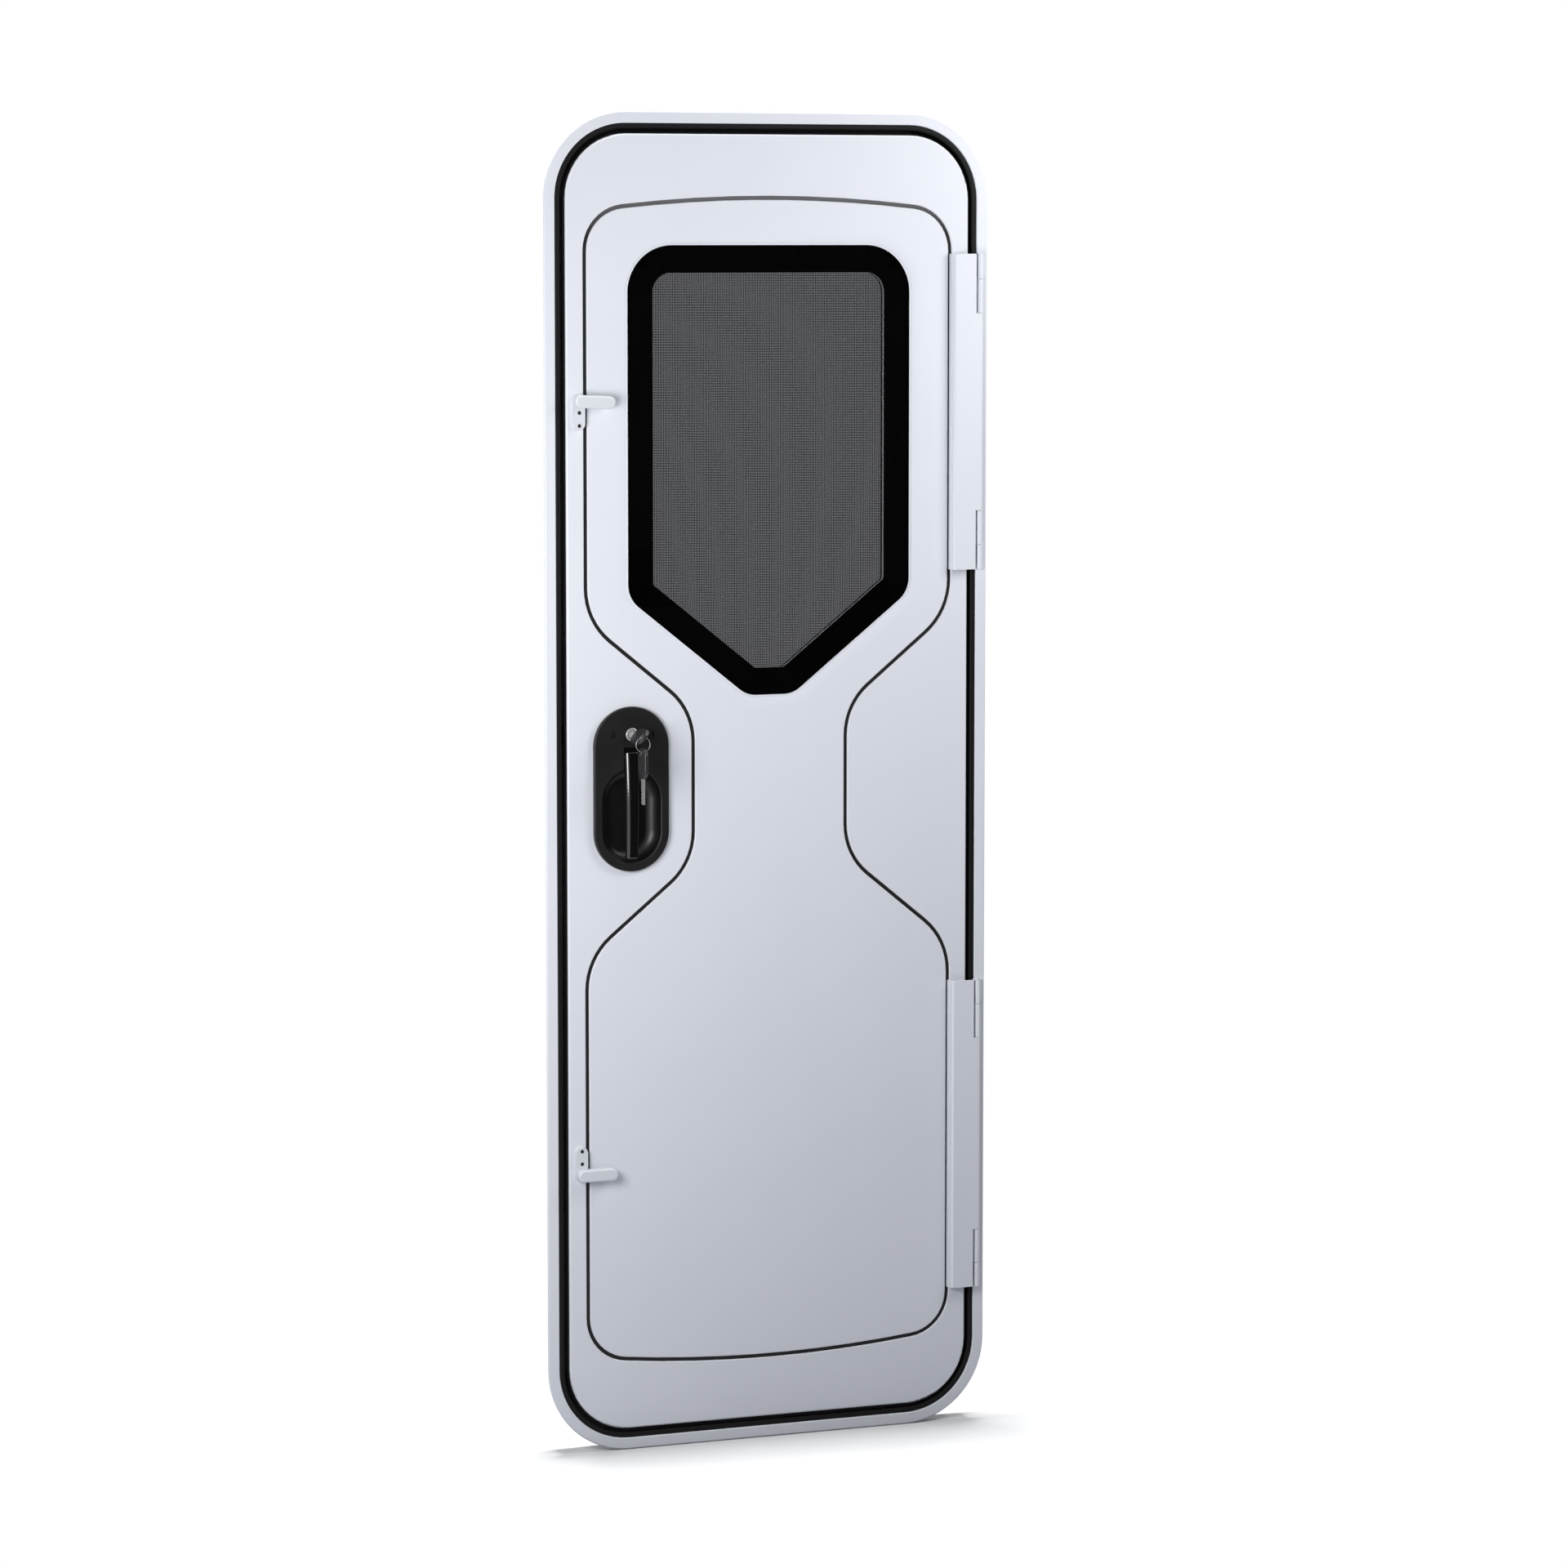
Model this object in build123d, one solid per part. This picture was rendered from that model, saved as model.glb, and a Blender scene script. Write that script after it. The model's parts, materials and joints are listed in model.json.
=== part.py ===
from build123d import *
import os
from math import hypot

# Caravan entry door: a flanged aluminium frame, a leaf with an hourglass outer panel,
# a bonded window with security mesh behind it, two long hinges, two turn clips and a lock.
# X runs to the right seen from outside, Z up and +Y into the caravan, in millimetres.
# The origin is at the bottom middle of the flange's back face, which lies on the wall.

# Frame
FRAME_WIDTH = 670.0
FRAME_HEIGHT = 1886.0
FRAME_CORNER_RADIUS = 121.0
FLANGE_WIDTH = 16.4
FLANGE_THICKNESS = 3.0
FLANGE_EDGE_RADIUS = 2.2
FLANGE_LIP_RADIUS = 1.6
JAMB_DEPTH = 38.0
JAMB_WALL = 2.5
STOP_WIDTH = 24.0
STOP_WALL = 2.5
STOP_SETBACK = 7.0
FRAME_SEAL_THICKNESS = 7.6
FRAME_SEAL_DEPTH = 11.5
FRAME_SEAL_SETBACK = 0.8
FRAME_SEAL_ROUND = 2.2

# Leaf
LEAF_GAP = 14.6
LEAF_PROUD = 6.0
LEAF_THICKNESS = 26.0
SKIN_THICKNESS = 4.0
SKIN_EDGE_RADIUS = 2.6
CORE_INSET = 1.5
EDGE_SEAL_THICKNESS = 3.4
EDGE_SEAL_DEPTH = 15.0

# Outer panel
PANEL_SIDE_MARGIN = 28.0
PANEL_END_MARGIN = 88.0
PANEL_ARCH_RISE = 19.0
PANEL_CORNER_RADIUS = 62.0
PANEL_THICKNESS = 7.0
PANEL_EDGE_RADIUS = 1.6
PANEL_GAP = 5.4
WAIST_INSET = 160.0
WAIST_HALF_LENGTH = 107.5
SHOULDER_HALF_LENGTH = 237.0
SHOULDER_RADIUS = 96.0
WAIST_RADIUS = 92.0
REBATE_WIDTH = 14.0
PANEL_SEAL_THICKNESS = 3.0
PANEL_BEAD_SETBACK = 2.6
PANEL_BEAD_CLEARANCE = 0.2

# Window
WINDOW_SIDE_MARGIN = 60.1
WINDOW_FOOT_ABOVE_WAIST = 18.5
WINDOW_TOP_DROP = 66.0
WINDOW_POINT_HEIGHT = 141.0
WINDOW_POINT_WIDTH = 70.0
WINDOW_TOP_RADIUS = 66.0
WINDOW_SIDE_RADIUS = 40.0
CLEAR_TOP_RADIUS = 28.0
CLEAR_SIDE_RADIUS = 8.0
GLASS_THICKNESS = 4.0
GLASS_EDGE_RADIUS = 0.8
GLASS_EDGE_CLEARANCE = 0.3
BORDER_WIDTH = 38.0
BORDER_THICKNESS = 0.8
BOND_LEDGE = 16.0
BEAD_WIDTH = 2.4
PRESSING_WIDTH = 8.0
PRESSING_DEPTH = 1.4
PRESSING_ROLL = 60.0
LINER_WALL = 2.0
LINER_LENGTH = 10.5
LINER_FLANGE = 2.0
LINER_FLANGE_INSET = 8.0

# Security mesh behind the panel
MESH_THICKNESS = 0.9
MESH_FRAME_WIDTH = 11.0
MESH_FRAME_DEPTH = 6.0

# Hinges
HINGE_FROM_PANEL_END = 78.5
HINGE_ABOVE_SHOULDER = 59.5
HINGE_AXIS_OUT = 15.0
HINGE_AXIS_FROM_JAMB = 0.4
BARREL_DIAMETER = 8.0
PIN_DIAMETER = 4.0
PIN_CLEARANCE = 0.08
FRAME_BARREL_LENGTH = 35.0
LEAF_BARREL_LENGTH = 48.0
BARREL_END_CLEARANCE = 0.6
HINGE_PLATE_THICKNESS = 2.2
HINGE_BEND_RADIUS = 4.0
HINGE_LIP_CLEARANCE = 2.7
HINGE_TOE = 5.0
HINGE_TOE_CLEARANCE = 0.5
HINGE_NOTCH_CLEARANCE = 3.5
HINGE_STRAP_THICKNESS = 2.2
HINGE_FOOT_WIDTH = 13.0
HINGE_WEB_WIDTH = 5.0

# Lock plate, pull handle and cylinder
LOCK_BACKSET = 93.0
LOCK_PLATE_WIDTH = 111.0
LOCK_PLATE_HEIGHT = 232.0
LOCK_PLATE_PROUD = 7.0
LOCK_PLATE_EDGE_RADIUS = 1.5
LOCK_HOUSING_WALL = 2.2
DISH_MARGIN = 12.0
DISH_FROM_PLATE_TOP = 87.5
DISH_DEPTH = 20.0
DISH_FLOOR_RADIUS = 18.4
DISH_RIM = 1.4
LOCK_SCREW_SPACING = 58.0
LOCK_SCREW_RECESS = 9.0
LOCK_SCREW_RECESS_DEPTH = 3.0
HANDLE_WIDTH = 21.0
HANDLE_FOOT_WIDTH = 18.4
HANDLE_TOP_FROM_PLATE_TOP = 64.0
HANDLE_END_CLEARANCE = 6.0
HANDLE_PROUD = 3.0
HANDLE_THICKNESS = 9.0
HANDLE_BOW = 3.0
HANDLE_EDGE_RADIUS = 5.8
HANDLE_BACK_RADIUS = 2.6
HANDLE_TOP_RADIUS = 1.0
HANDLE_FOOT_RADIUS = 2.2
HANDLE_PIN_DIAMETER = 4.0
HANDLE_PIN_DROP = 6.0
HANDLE_PIN_CLEARANCE = 0.08
HANDLE_SLOT_ABOVE = 7.0
HANDLE_CLEARANCE = 1.2
HANDLE_BACK_CLEARANCE = 2.4
GROOVE_DEPTH = 1.0
CYLINDER_FROM_PLATE_TOP = 39.0
CYLINDER_DIAMETER = 18.5
CYLINDER_PROUD = 2.0
CYLINDER_EDGE_RADIUS = 1.0
CYLINDER_SEAT = 1.2
PLUG_DIAMETER = 12.0
PLUG_LENGTH = 14.0
PLUG_CLEARANCE = 0.3
LATCH_WIDTH = 9.0
LATCH_HEIGHT = 26.0
LATCH_THROW = 1.2
LATCH_LENGTH = 40.0
LATCH_CLEARANCE = 3.0
STRIKE_THICKNESS = 1.5
STRIKE_HEIGHT = 70.0
INNER_COVER_WIDTH = 78.0
INNER_COVER_HEIGHT = 186.0
INNER_COVER_PROUD = 5.0
INNER_COVER_EDGE_RADIUS = 2.5
INNER_LEVER_LENGTH = 78.0
INNER_LEVER_WIDTH = 16.0
INNER_LEVER_THICKNESS = 9.0
INNER_LEVER_STANDOFF = 5.0
INNER_LEVER_EDGE_RADIUS = 2.2

# Keys
KEY_TURN_DEGREES = 40.0
KEY_BOW_WIDTH = 25.0
KEY_BOW_LENGTH = 43.0
KEY_BOW_THICKNESS = 5.0
KEY_BOW_CORNER = 11.5
KEY_BOW_EDGE = 1.7
KEY_BLADE_WIDTH = 8.0
KEY_BLADE_THICKNESS = 2.2
KEY_BLADE_SHOWN = 7.0
KEY_BLADE_IN_PLUG = 10.0
KEY_CUT = 2.6
KEY_CUT_PITCH = 5.6
KEY_CUTS = 4
KEY_HOLE_DIAMETER = 5.6
KEY_HOLE_LIP = 2.3
KEY_HOLE_FROM_END = 7.5
RING_DIAMETER = 22.0
RING_WIRE = 1.2
SPARE_BLADE_LENGTH = 36.0
SPARE_HANG_CLEARANCE = 0.3
SPARE_TURN_DEGREES = 4.0

# Turn clips
CLIP_FROM_PANEL_END = 281.0
CLIP_OUTSIDE_PANEL = 11.0
CLIP_BASE_WIDTH = 20.0
CLIP_BASE_LENGTH = 51.0
CLIP_BASE_THICKNESS = 7.0
CLIP_DRAFT_DEGREES = 12.0
CLIP_SCREW_PITCH = 18.0
CLIP_SCREW_FROM_PIVOT = 16.0
CLIP_SCREW_RECESS = 5.6
CLIP_SCREW_RECESS_DEPTH = 2.0
CLIP_ARM_LENGTH = 60.0
CLIP_ARM_WIDTH = 18.0
CLIP_ARM_THICKNESS = 10.0
CLIP_ARM_EDGE_RADIUS = 3.4
CLIP_ARM_GAP = 0.4
CLIP_PIVOT_DIAMETER = 6.0
CLIP_PIVOT_CLEARANCE = 0.08
CLIP_PIVOT_COVER = 3.0
CLIP_PIVOT_END_CLEARANCE = 0.3
UPPER_CLIP_TILT_DEGREES = 2.8

# Two places nearer than this count as one
NEAR = 0.01

# Levels across the thickness, with the wall face at zero and the outside negative
FLANGE_FRONT = -FLANGE_THICKNESS
FRAME_SEAL_FRONT = FLANGE_FRONT + FRAME_SEAL_SETBACK
FRAME_SEAL_BACK = FRAME_SEAL_FRONT + FRAME_SEAL_DEPTH
LEAF_FRONT = -LEAF_PROUD
LEAF_BACK = LEAF_FRONT + LEAF_THICKNESS
CORE_FRONT = LEAF_FRONT + SKIN_THICKNESS
PANEL_BACK = LEAF_FRONT + PANEL_THICKNESS
REBATE_FACE = PANEL_BACK + PANEL_SEAL_THICKNESS
GLASS_BACK = LEAF_FRONT + GLASS_THICKNESS
BORDER_BACK = GLASS_BACK + BORDER_THICKNESS
LINER_BACK = BORDER_BACK + LINER_LENGTH
MESH_BACK = LEAF_BACK - MESH_FRAME_DEPTH
STOP_FRONT = LEAF_BACK + STOP_SETBACK
LOCK_FRONT = LEAF_FRONT - LOCK_PLATE_PROUD
DISH_FLOOR = LOCK_FRONT + DISH_DEPTH
HINGE_AXIS_Y = -HINGE_AXIS_OUT
HINGE_FRONT = HINGE_AXIS_Y - BARREL_DIAMETER / 2

# Places across the width and height
JAMB_HALF = FRAME_WIDTH / 2 - FLANGE_WIDTH
JAMB_HEIGHT = FRAME_HEIGHT - 2 * FLANGE_WIDTH
JAMB_RADIUS = FRAME_CORNER_RADIUS - FLANGE_WIDTH
LEAF_WIDTH = 2 * (JAMB_HALF - LEAF_GAP)
LEAF_HEIGHT = JAMB_HEIGHT - 2 * LEAF_GAP
LEAF_RADIUS = JAMB_RADIUS - LEAF_GAP
LEAF_CENTRE = FRAME_HEIGHT / 2
PANEL_WIDTH = LEAF_WIDTH - 2 * PANEL_SIDE_MARGIN
PANEL_HALF_HEIGHT = LEAF_HEIGHT / 2 - PANEL_END_MARGIN
WINDOW_WIDTH = PANEL_WIDTH - PANEL_GAP - 2 * WINDOW_SIDE_MARGIN
WINDOW_TOP = LEAF_CENTRE + PANEL_HALF_HEIGHT - WINDOW_TOP_DROP
WINDOW_FOOT = LEAF_CENTRE + WAIST_HALF_LENGTH + WINDOW_FOOT_ABOVE_WAIST
HINGE_X = JAMB_HALF + HINGE_AXIS_FROM_JAMB
HINGE_LIP_X = PANEL_WIDTH / 2 - PANEL_GAP / 2 + HINGE_LIP_CLEARANCE
HINGE_OUTER_END = PANEL_HALF_HEIGHT - HINGE_FROM_PANEL_END
HINGE_INNER_END = SHOULDER_HALF_LENGTH + HINGE_ABOVE_SHOULDER
HINGE_LENGTH = HINGE_OUTER_END - HINGE_INNER_END
HINGE_OFFSET = (HINGE_OUTER_END + HINGE_INNER_END) / 2
HINGE_CENTRES = (LEAF_CENTRE + HINGE_OFFSET, LEAF_CENTRE - HINGE_OFFSET)
LOCK_X = -LEAF_WIDTH / 2 + LOCK_BACKSET
LOCK_TOP = LEAF_CENTRE + LOCK_PLATE_HEIGHT / 2
CYLINDER_Z = LOCK_TOP - CYLINDER_FROM_PLATE_TOP
HANDLE_TOP = LOCK_TOP - HANDLE_TOP_FROM_PLATE_TOP
DISH_TOP = LOCK_TOP - DISH_FROM_PLATE_TOP
DISH_BOTTOM = LOCK_TOP - LOCK_PLATE_HEIGHT + DISH_MARGIN
HANDLE_BOTTOM = DISH_BOTTOM + HANDLE_END_CLEARANCE
CLIP_X = -PANEL_WIDTH / 2 - CLIP_OUTSIDE_PANEL
CLIP_OFFSET = PANEL_HALF_HEIGHT - CLIP_FROM_PANEL_END


def slab(face, front, back):
    """Extrude a face drawn in X and Z so that it fills the thickness from front to back."""
    return extrude(Plane.XZ.offset(-back) * face, back - front)


def at_level(face, level):
    """Place a face drawn in X and Z at one level of the thickness."""
    return Plane.XZ.offset(-level) * face


def rounded(width, height, radius):
    """A rectangle with round corners about the middle of the door."""
    return Pos(0, LEAF_CENTRE) * RectangleRounded(width, height, radius)


def jamb_outline(outward):
    """The frame's opening, grown outward by an amount."""
    return rounded(2 * (JAMB_HALF + outward), JAMB_HEIGHT + 2 * outward, JAMB_RADIUS + outward)


def leaf_outline(outward):
    """The leaf's outline, grown outward by an amount."""
    return rounded(LEAF_WIDTH + 2 * outward, LEAF_HEIGHT + 2 * outward, LEAF_RADIUS + outward)


def rounded_at(face, height, radius):
    """Round the corners of a face that lie at one height above and below the middle."""
    corners = [v for v in face.vertices() if abs(abs(v.Y) - height) < NEAR]
    return fillet(corners, radius)


def panel_outline(outward):
    """The hourglass of the outer panel, grown outward by an amount, about the door's middle."""
    half = PANEL_WIDTH / 2
    waist = half - WAIST_INSET
    corner = PANEL_HALF_HEIGHT - PANEL_ARCH_RISE
    right = Polyline(
        (half, corner),
        (half, SHOULDER_HALF_LENGTH),
        (waist, WAIST_HALF_LENGTH),
        (waist, -WAIST_HALF_LENGTH),
        (half, -SHOULDER_HALF_LENGTH),
        (half, -corner),
    )
    left = mirror(right, Plane.YZ)
    head = ThreePointArc((-half, corner), (0, PANEL_HALF_HEIGHT), (half, corner))
    foot = ThreePointArc((-half, -corner), (0, -PANEL_HALF_HEIGHT), (half, -corner))
    face = make_face([*right.edges(), *left.edges(), head, foot])
    face = rounded_at(face, corner, PANEL_CORNER_RADIUS)
    face = rounded_at(face, SHOULDER_HALF_LENGTH, SHOULDER_RADIUS)
    face = rounded_at(face, WAIST_HALF_LENGTH, WAIST_RADIUS)
    if outward:
        face = offset(face, outward)
    return Pos(0, LEAF_CENTRE) * face


def window_outline(inset, top_radius, side_radius):
    """The home-plate shape of the window, drawn in by an inset on every side."""
    half = WINDOW_WIDTH / 2
    run = half - WINDOW_POINT_WIDTH / 2
    slope = WINDOW_POINT_HEIGHT / run
    lift = inset * hypot(run, WINDOW_POINT_HEIGHT) / run
    top = WINDOW_TOP - inset
    bottom = WINDOW_FOOT + inset
    shoulder = WINDOW_FOOT + WINDOW_POINT_HEIGHT + lift - inset * slope
    point = half - (shoulder + inset * slope - bottom) / slope
    side = half - inset
    upper = [(side, top), (-side, top)]
    lower = [(-side, shoulder), (-point, bottom), (point, bottom), (side, shoulder)]
    radii = len(upper) * [top_radius] + len(lower) * [side_radius]
    return make_face(FilletPolyline(*upper, *lower, radius=radii, close=True))


def glass_outline(inset):
    """The window's outline with its own corner radii, drawn in by a small inset."""
    return window_outline(inset, WINDOW_TOP_RADIUS - inset, WINDOW_SIDE_RADIUS - inset)


def stadium(width, height, x, z):
    """An upright slot shape with round ends, centred at a place on the door."""
    return Pos(x, z) * SlotOverall(height, width, rotation=90)


def upright(diameter, bottom, length, x, y):
    """A cylinder that stands upright at a place on the plan."""
    return Pos(x, y, bottom) * Cylinder(diameter / 2, length, align=(Align.CENTER, Align.CENTER, Align.MIN))


def outward_rod(diameter, front, back, x, z):
    """A cylinder along the door's thickness."""
    return slab(Pos(x, z) * Circle(diameter / 2), front, back)


def upright_prism(face, bottom, length):
    """Extrude a plan drawn in X and Y upward."""
    return extrude(Pos(0, 0, bottom) * face, length)


def edges_at(part, level):
    """The edges of a part that lie wholly at one level of the thickness."""
    return part.edges().filter_by(lambda e: all(abs(v.Y - level) < NEAR for v in e.vertices()))


def edges_on(part, outline, level):
    """The edges at one level that lie along an outline drawn in X and Z."""
    line = at_level(outline, level).faces()[0].outer_wire()
    return [e for e in edges_at(part, level) if line.distance_to(e.position_at(0.5)) < NEAR]


def make_frame():
    """The bent extrusion: flange on the wall, jamb through it and a stop behind the leaf."""
    flange = slab(jamb_outline(FLANGE_WIDTH) - jamb_outline(0), FLANGE_FRONT, 0)
    flange = fillet(edges_on(flange, jamb_outline(FLANGE_WIDTH), FLANGE_FRONT), FLANGE_EDGE_RADIUS)
    flange = fillet(edges_on(flange, jamb_outline(0), FLANGE_FRONT), FLANGE_LIP_RADIUS)
    jamb = slab(jamb_outline(JAMB_WALL) - jamb_outline(0), 0, JAMB_DEPTH)
    stop = slab(jamb_outline(0) - jamb_outline(-STOP_WIDTH), STOP_FRONT, STOP_FRONT + STOP_WALL)
    ring = flange + jamb + stop
    reach = FRAME_WIDTH + JAMB_DEPTH
    low, high = FRAME_CORNER_RADIUS, FRAME_HEIGHT - FRAME_CORNER_RADIUS
    middle = Pos(0, 0, (low + high) / 2) * Box(reach, reach, high - low)
    above = Pos(0, 0, high) * Box(reach, reach, reach, align=(Align.CENTER, Align.CENTER, Align.MIN))
    below = Pos(0, 0, low) * Box(reach, reach, reach, align=(Align.CENTER, Align.CENTER, Align.MAX))
    left = Pos(-reach / 2) * middle & ring
    right = Pos(reach / 2) * middle & ring
    return {
        "frame_head": ring & above,
        "frame_sill": ring & below,
        "frame_lock_jamb": left,
        "frame_hinge_jamb": right,
    }


def make_frame_seal():
    """The black bulb seal round the inside of the frame."""
    seal = slab(jamb_outline(0) - jamb_outline(-FRAME_SEAL_THICKNESS), FRAME_SEAL_FRONT, FRAME_SEAL_BACK)
    return fillet(edges_at(seal, FRAME_SEAL_FRONT), FRAME_SEAL_ROUND)


def make_strike():
    """The strike plate on the lock jamb, level with the latch."""
    front = FRAME_SEAL_BACK
    depth = LEAF_BACK + LATCH_CLEARANCE - front
    plate = Box(STRIKE_THICKNESS, depth, STRIKE_HEIGHT, align=(Align.MIN, Align.MIN, Align.CENTER))
    return Pos(-JAMB_HALF, front, CYLINDER_Z) * plate


def make_surround():
    """The leaf's skin and its core, open to the hourglass and rebated for the panel."""
    opening = panel_outline(PANEL_GAP / 2)
    lock_hole = stadium(
        LOCK_PLATE_WIDTH - 2 * LOCK_PLATE_EDGE_RADIUS,
        LOCK_PLATE_HEIGHT - 2 * LOCK_PLATE_EDGE_RADIUS,
        LOCK_X,
        LEAF_CENTRE,
    )
    skin = slab(leaf_outline(0) - opening - lock_hole, LEAF_FRONT, CORE_FRONT)
    skin = fillet(edges_on(skin, leaf_outline(0), LEAF_FRONT), SKIN_EDGE_RADIUS)
    skin = fillet(edges_on(skin, opening, LEAF_FRONT), PANEL_EDGE_RADIUS)
    pocket = slab(lock_hole, CORE_FRONT, DISH_FLOOR + LOCK_HOUSING_WALL)
    core = slab(leaf_outline(-CORE_INSET), CORE_FRONT, LEAF_BACK)
    core -= slab(opening, CORE_FRONT, REBATE_FACE)
    core -= slab(panel_outline(-REBATE_WIDTH), REBATE_FACE, LEAF_BACK)
    core -= pocket
    core -= latch_shape(0.0)
    return {"surround_skin": skin, "surround_core": core}


def make_edge_seal():
    """The black strip on the leaf's edge, facing the frame's seal."""
    back = LEAF_FRONT + EDGE_SEAL_DEPTH
    strip = leaf_outline(EDGE_SEAL_THICKNESS - CORE_INSET) - leaf_outline(-CORE_INSET)
    return slab(strip, CORE_FRONT, back)


def make_panel():
    """The hourglass panel with the pressed rim and the bonding rebate of the window."""
    outline = panel_outline(-PANEL_GAP / 2)
    panel = slab(outline, LEAF_FRONT, PANEL_BACK)
    panel = fillet(edges_on(panel, outline, LEAF_FRONT), PANEL_EDGE_RADIUS)
    rim = glass_outline(-BEAD_WIDTH)
    crest = glass_outline(-BEAD_WIDTH - PRESSING_WIDTH)
    pressing = loft([at_level(crest, LEAF_FRONT), at_level(rim, LEAF_FRONT + PRESSING_DEPTH)])
    panel -= pressing - slab(rim, LEAF_FRONT, LEAF_FRONT + PRESSING_DEPTH)
    panel = fillet(edges_on(panel, crest, LEAF_FRONT), PRESSING_ROLL)
    panel -= slab(glass_outline(-GLASS_EDGE_CLEARANCE), LEAF_FRONT, BORDER_BACK)
    panel -= slab(glass_outline(BOND_LEDGE), BORDER_BACK, PANEL_BACK)
    return panel - [hinge_toe_seat(centre) for centre in HINGE_CENTRES]


def make_panel_seal():
    """The black seal on the rebate, which the panel's back closes on, with its bead in the gap."""
    ring = panel_outline(PANEL_GAP / 2) - panel_outline(-REBATE_WIDTH)
    reach = PANEL_GAP / 2 - PANEL_BEAD_CLEARANCE
    bead = panel_outline(reach) - panel_outline(-reach)
    seal = slab(ring, PANEL_BACK, REBATE_FACE) + slab(bead, LEAF_FRONT + PANEL_BEAD_SETBACK, PANEL_BACK)
    return seal - [hinge_lip_room(centre) for centre in HINGE_CENTRES]


def clear_outline(extra):
    """The clear area of the glass, drawn in further by an extra amount."""
    return window_outline(BORDER_WIDTH + extra, CLEAR_TOP_RADIUS - extra, CLEAR_SIDE_RADIUS - extra)


def make_window():
    """The pane, the black band behind its edge and the liner that closes the hollow behind it."""
    pane = slab(glass_outline(0), LEAF_FRONT, GLASS_BACK)
    pane = fillet(edges_at(pane, LEAF_FRONT), GLASS_EDGE_RADIUS)
    border = slab(glass_outline(0) - clear_outline(0), GLASS_BACK, BORDER_BACK)
    wall = slab(clear_outline(-LINER_WALL) - clear_outline(0), BORDER_BACK, LINER_BACK)
    flange = slab(
        glass_outline(LINER_FLANGE_INSET) - clear_outline(0), PANEL_BACK, PANEL_BACK + LINER_FLANGE
    )
    return {"window_glass": pane, "window_border": border, "window_liner": wall + flange}


def make_mesh():
    """The security mesh sheet and the frame that clamps it in the leaf's opening."""
    outline = panel_outline(-REBATE_WIDTH)
    sheet = slab(outline, MESH_BACK - MESH_THICKNESS, MESH_BACK)
    clamp = slab(outline - panel_outline(-REBATE_WIDTH - MESH_FRAME_WIDTH), MESH_BACK, LEAF_BACK)
    return {"security_mesh": sheet, "mesh_frame": clamp}


def barrel(bottom, length):
    """A plain hinge barrel on the axis, still without its bore."""
    return upright(BARREL_DIAMETER, bottom, length, HINGE_X, HINGE_AXIS_Y)


def bore(bottom, length):
    """The hole for the hinge pin."""
    return upright(PIN_DIAMETER + 2 * PIN_CLEARANCE, bottom, length, HINGE_X, HINGE_AXIS_Y)


def plan_box(x_low, x_high, y_low, y_high):
    """A rectangle on the plan between two sides and two levels."""
    return Pos((x_low + x_high) / 2, (y_low + y_high) / 2) * Rectangle(x_high - x_low, y_high - y_low)


def frame_knuckle(bottom, length):
    """A barrel on a web and foot that stand on the frame's flange."""
    web = plan_box(
        HINGE_X - HINGE_WEB_WIDTH / 2, HINGE_X + HINGE_WEB_WIDTH / 2, HINGE_AXIS_Y, FLANGE_FRONT
    )
    foot = plan_box(
        JAMB_HALF, FRAME_WIDTH / 2 - FLANGE_EDGE_RADIUS, FLANGE_FRONT - HINGE_STRAP_THICKNESS, FLANGE_FRONT
    )
    knuckle = barrel(bottom, length) + upright_prism(web + foot, bottom, length)
    return knuckle - bore(bottom, length)


def leaf_knuckle(bottom, length):
    """A barrel on a strap that steps down to the leaf's skin under the hinge plate."""
    rear = HINGE_AXIS_Y + BARREL_DIAMETER / 2
    edge = LEAF_WIDTH / 2 - SKIN_EDGE_RADIUS
    inner = edge - HINGE_STRAP_THICKNESS
    strap = plan_box(inner, HINGE_X, rear - HINGE_STRAP_THICKNESS, rear)
    leg = plan_box(inner, edge, rear - HINGE_STRAP_THICKNESS, LEAF_FRONT)
    foot = plan_box(edge - HINGE_FOOT_WIDTH, edge, LEAF_FRONT - HINGE_STRAP_THICKNESS, LEAF_FRONT)
    knuckle = barrel(bottom, length) + upright_prism(strap + leg + foot, bottom, length)
    return knuckle - bore(bottom, length)


def hinge_plate(bottom, length):
    """The long plate: a toe under the panel's edge, a lip in the gap, a bend and a flat."""
    bend = HINGE_LIP_X + HINGE_BEND_RADIUS
    end = HINGE_X - BARREL_DIAMETER / 2 - HINGE_NOTCH_CLEARANCE
    inside = HINGE_FRONT + HINGE_PLATE_THICKNESS
    turn = HINGE_FRONT + HINGE_BEND_RADIUS
    back = HINGE_LIP_X + HINGE_PLATE_THICKNESS
    toe_top = PANEL_BACK - HINGE_PLATE_THICKNESS
    outer_arc = RadiusArc((HINGE_LIP_X, turn), (bend, HINGE_FRONT), HINGE_BEND_RADIUS)
    flat = Polyline((bend, HINGE_FRONT), (end, HINGE_FRONT), (end, inside), (bend, inside))
    inner_arc = RadiusArc((bend, inside), (back, turn), HINGE_PLATE_THICKNESS - HINGE_BEND_RADIUS)
    lip = Polyline(
        (back, turn),
        (back, PANEL_BACK),
        (HINGE_LIP_X - HINGE_TOE, PANEL_BACK),
        (HINGE_LIP_X - HINGE_TOE, toe_top),
        (HINGE_LIP_X, toe_top),
        (HINGE_LIP_X, turn),
    )
    plan = make_face([outer_arc, *flat.edges(), inner_arc, *lip.edges()])
    return upright_prism(plan, bottom, length)


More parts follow.
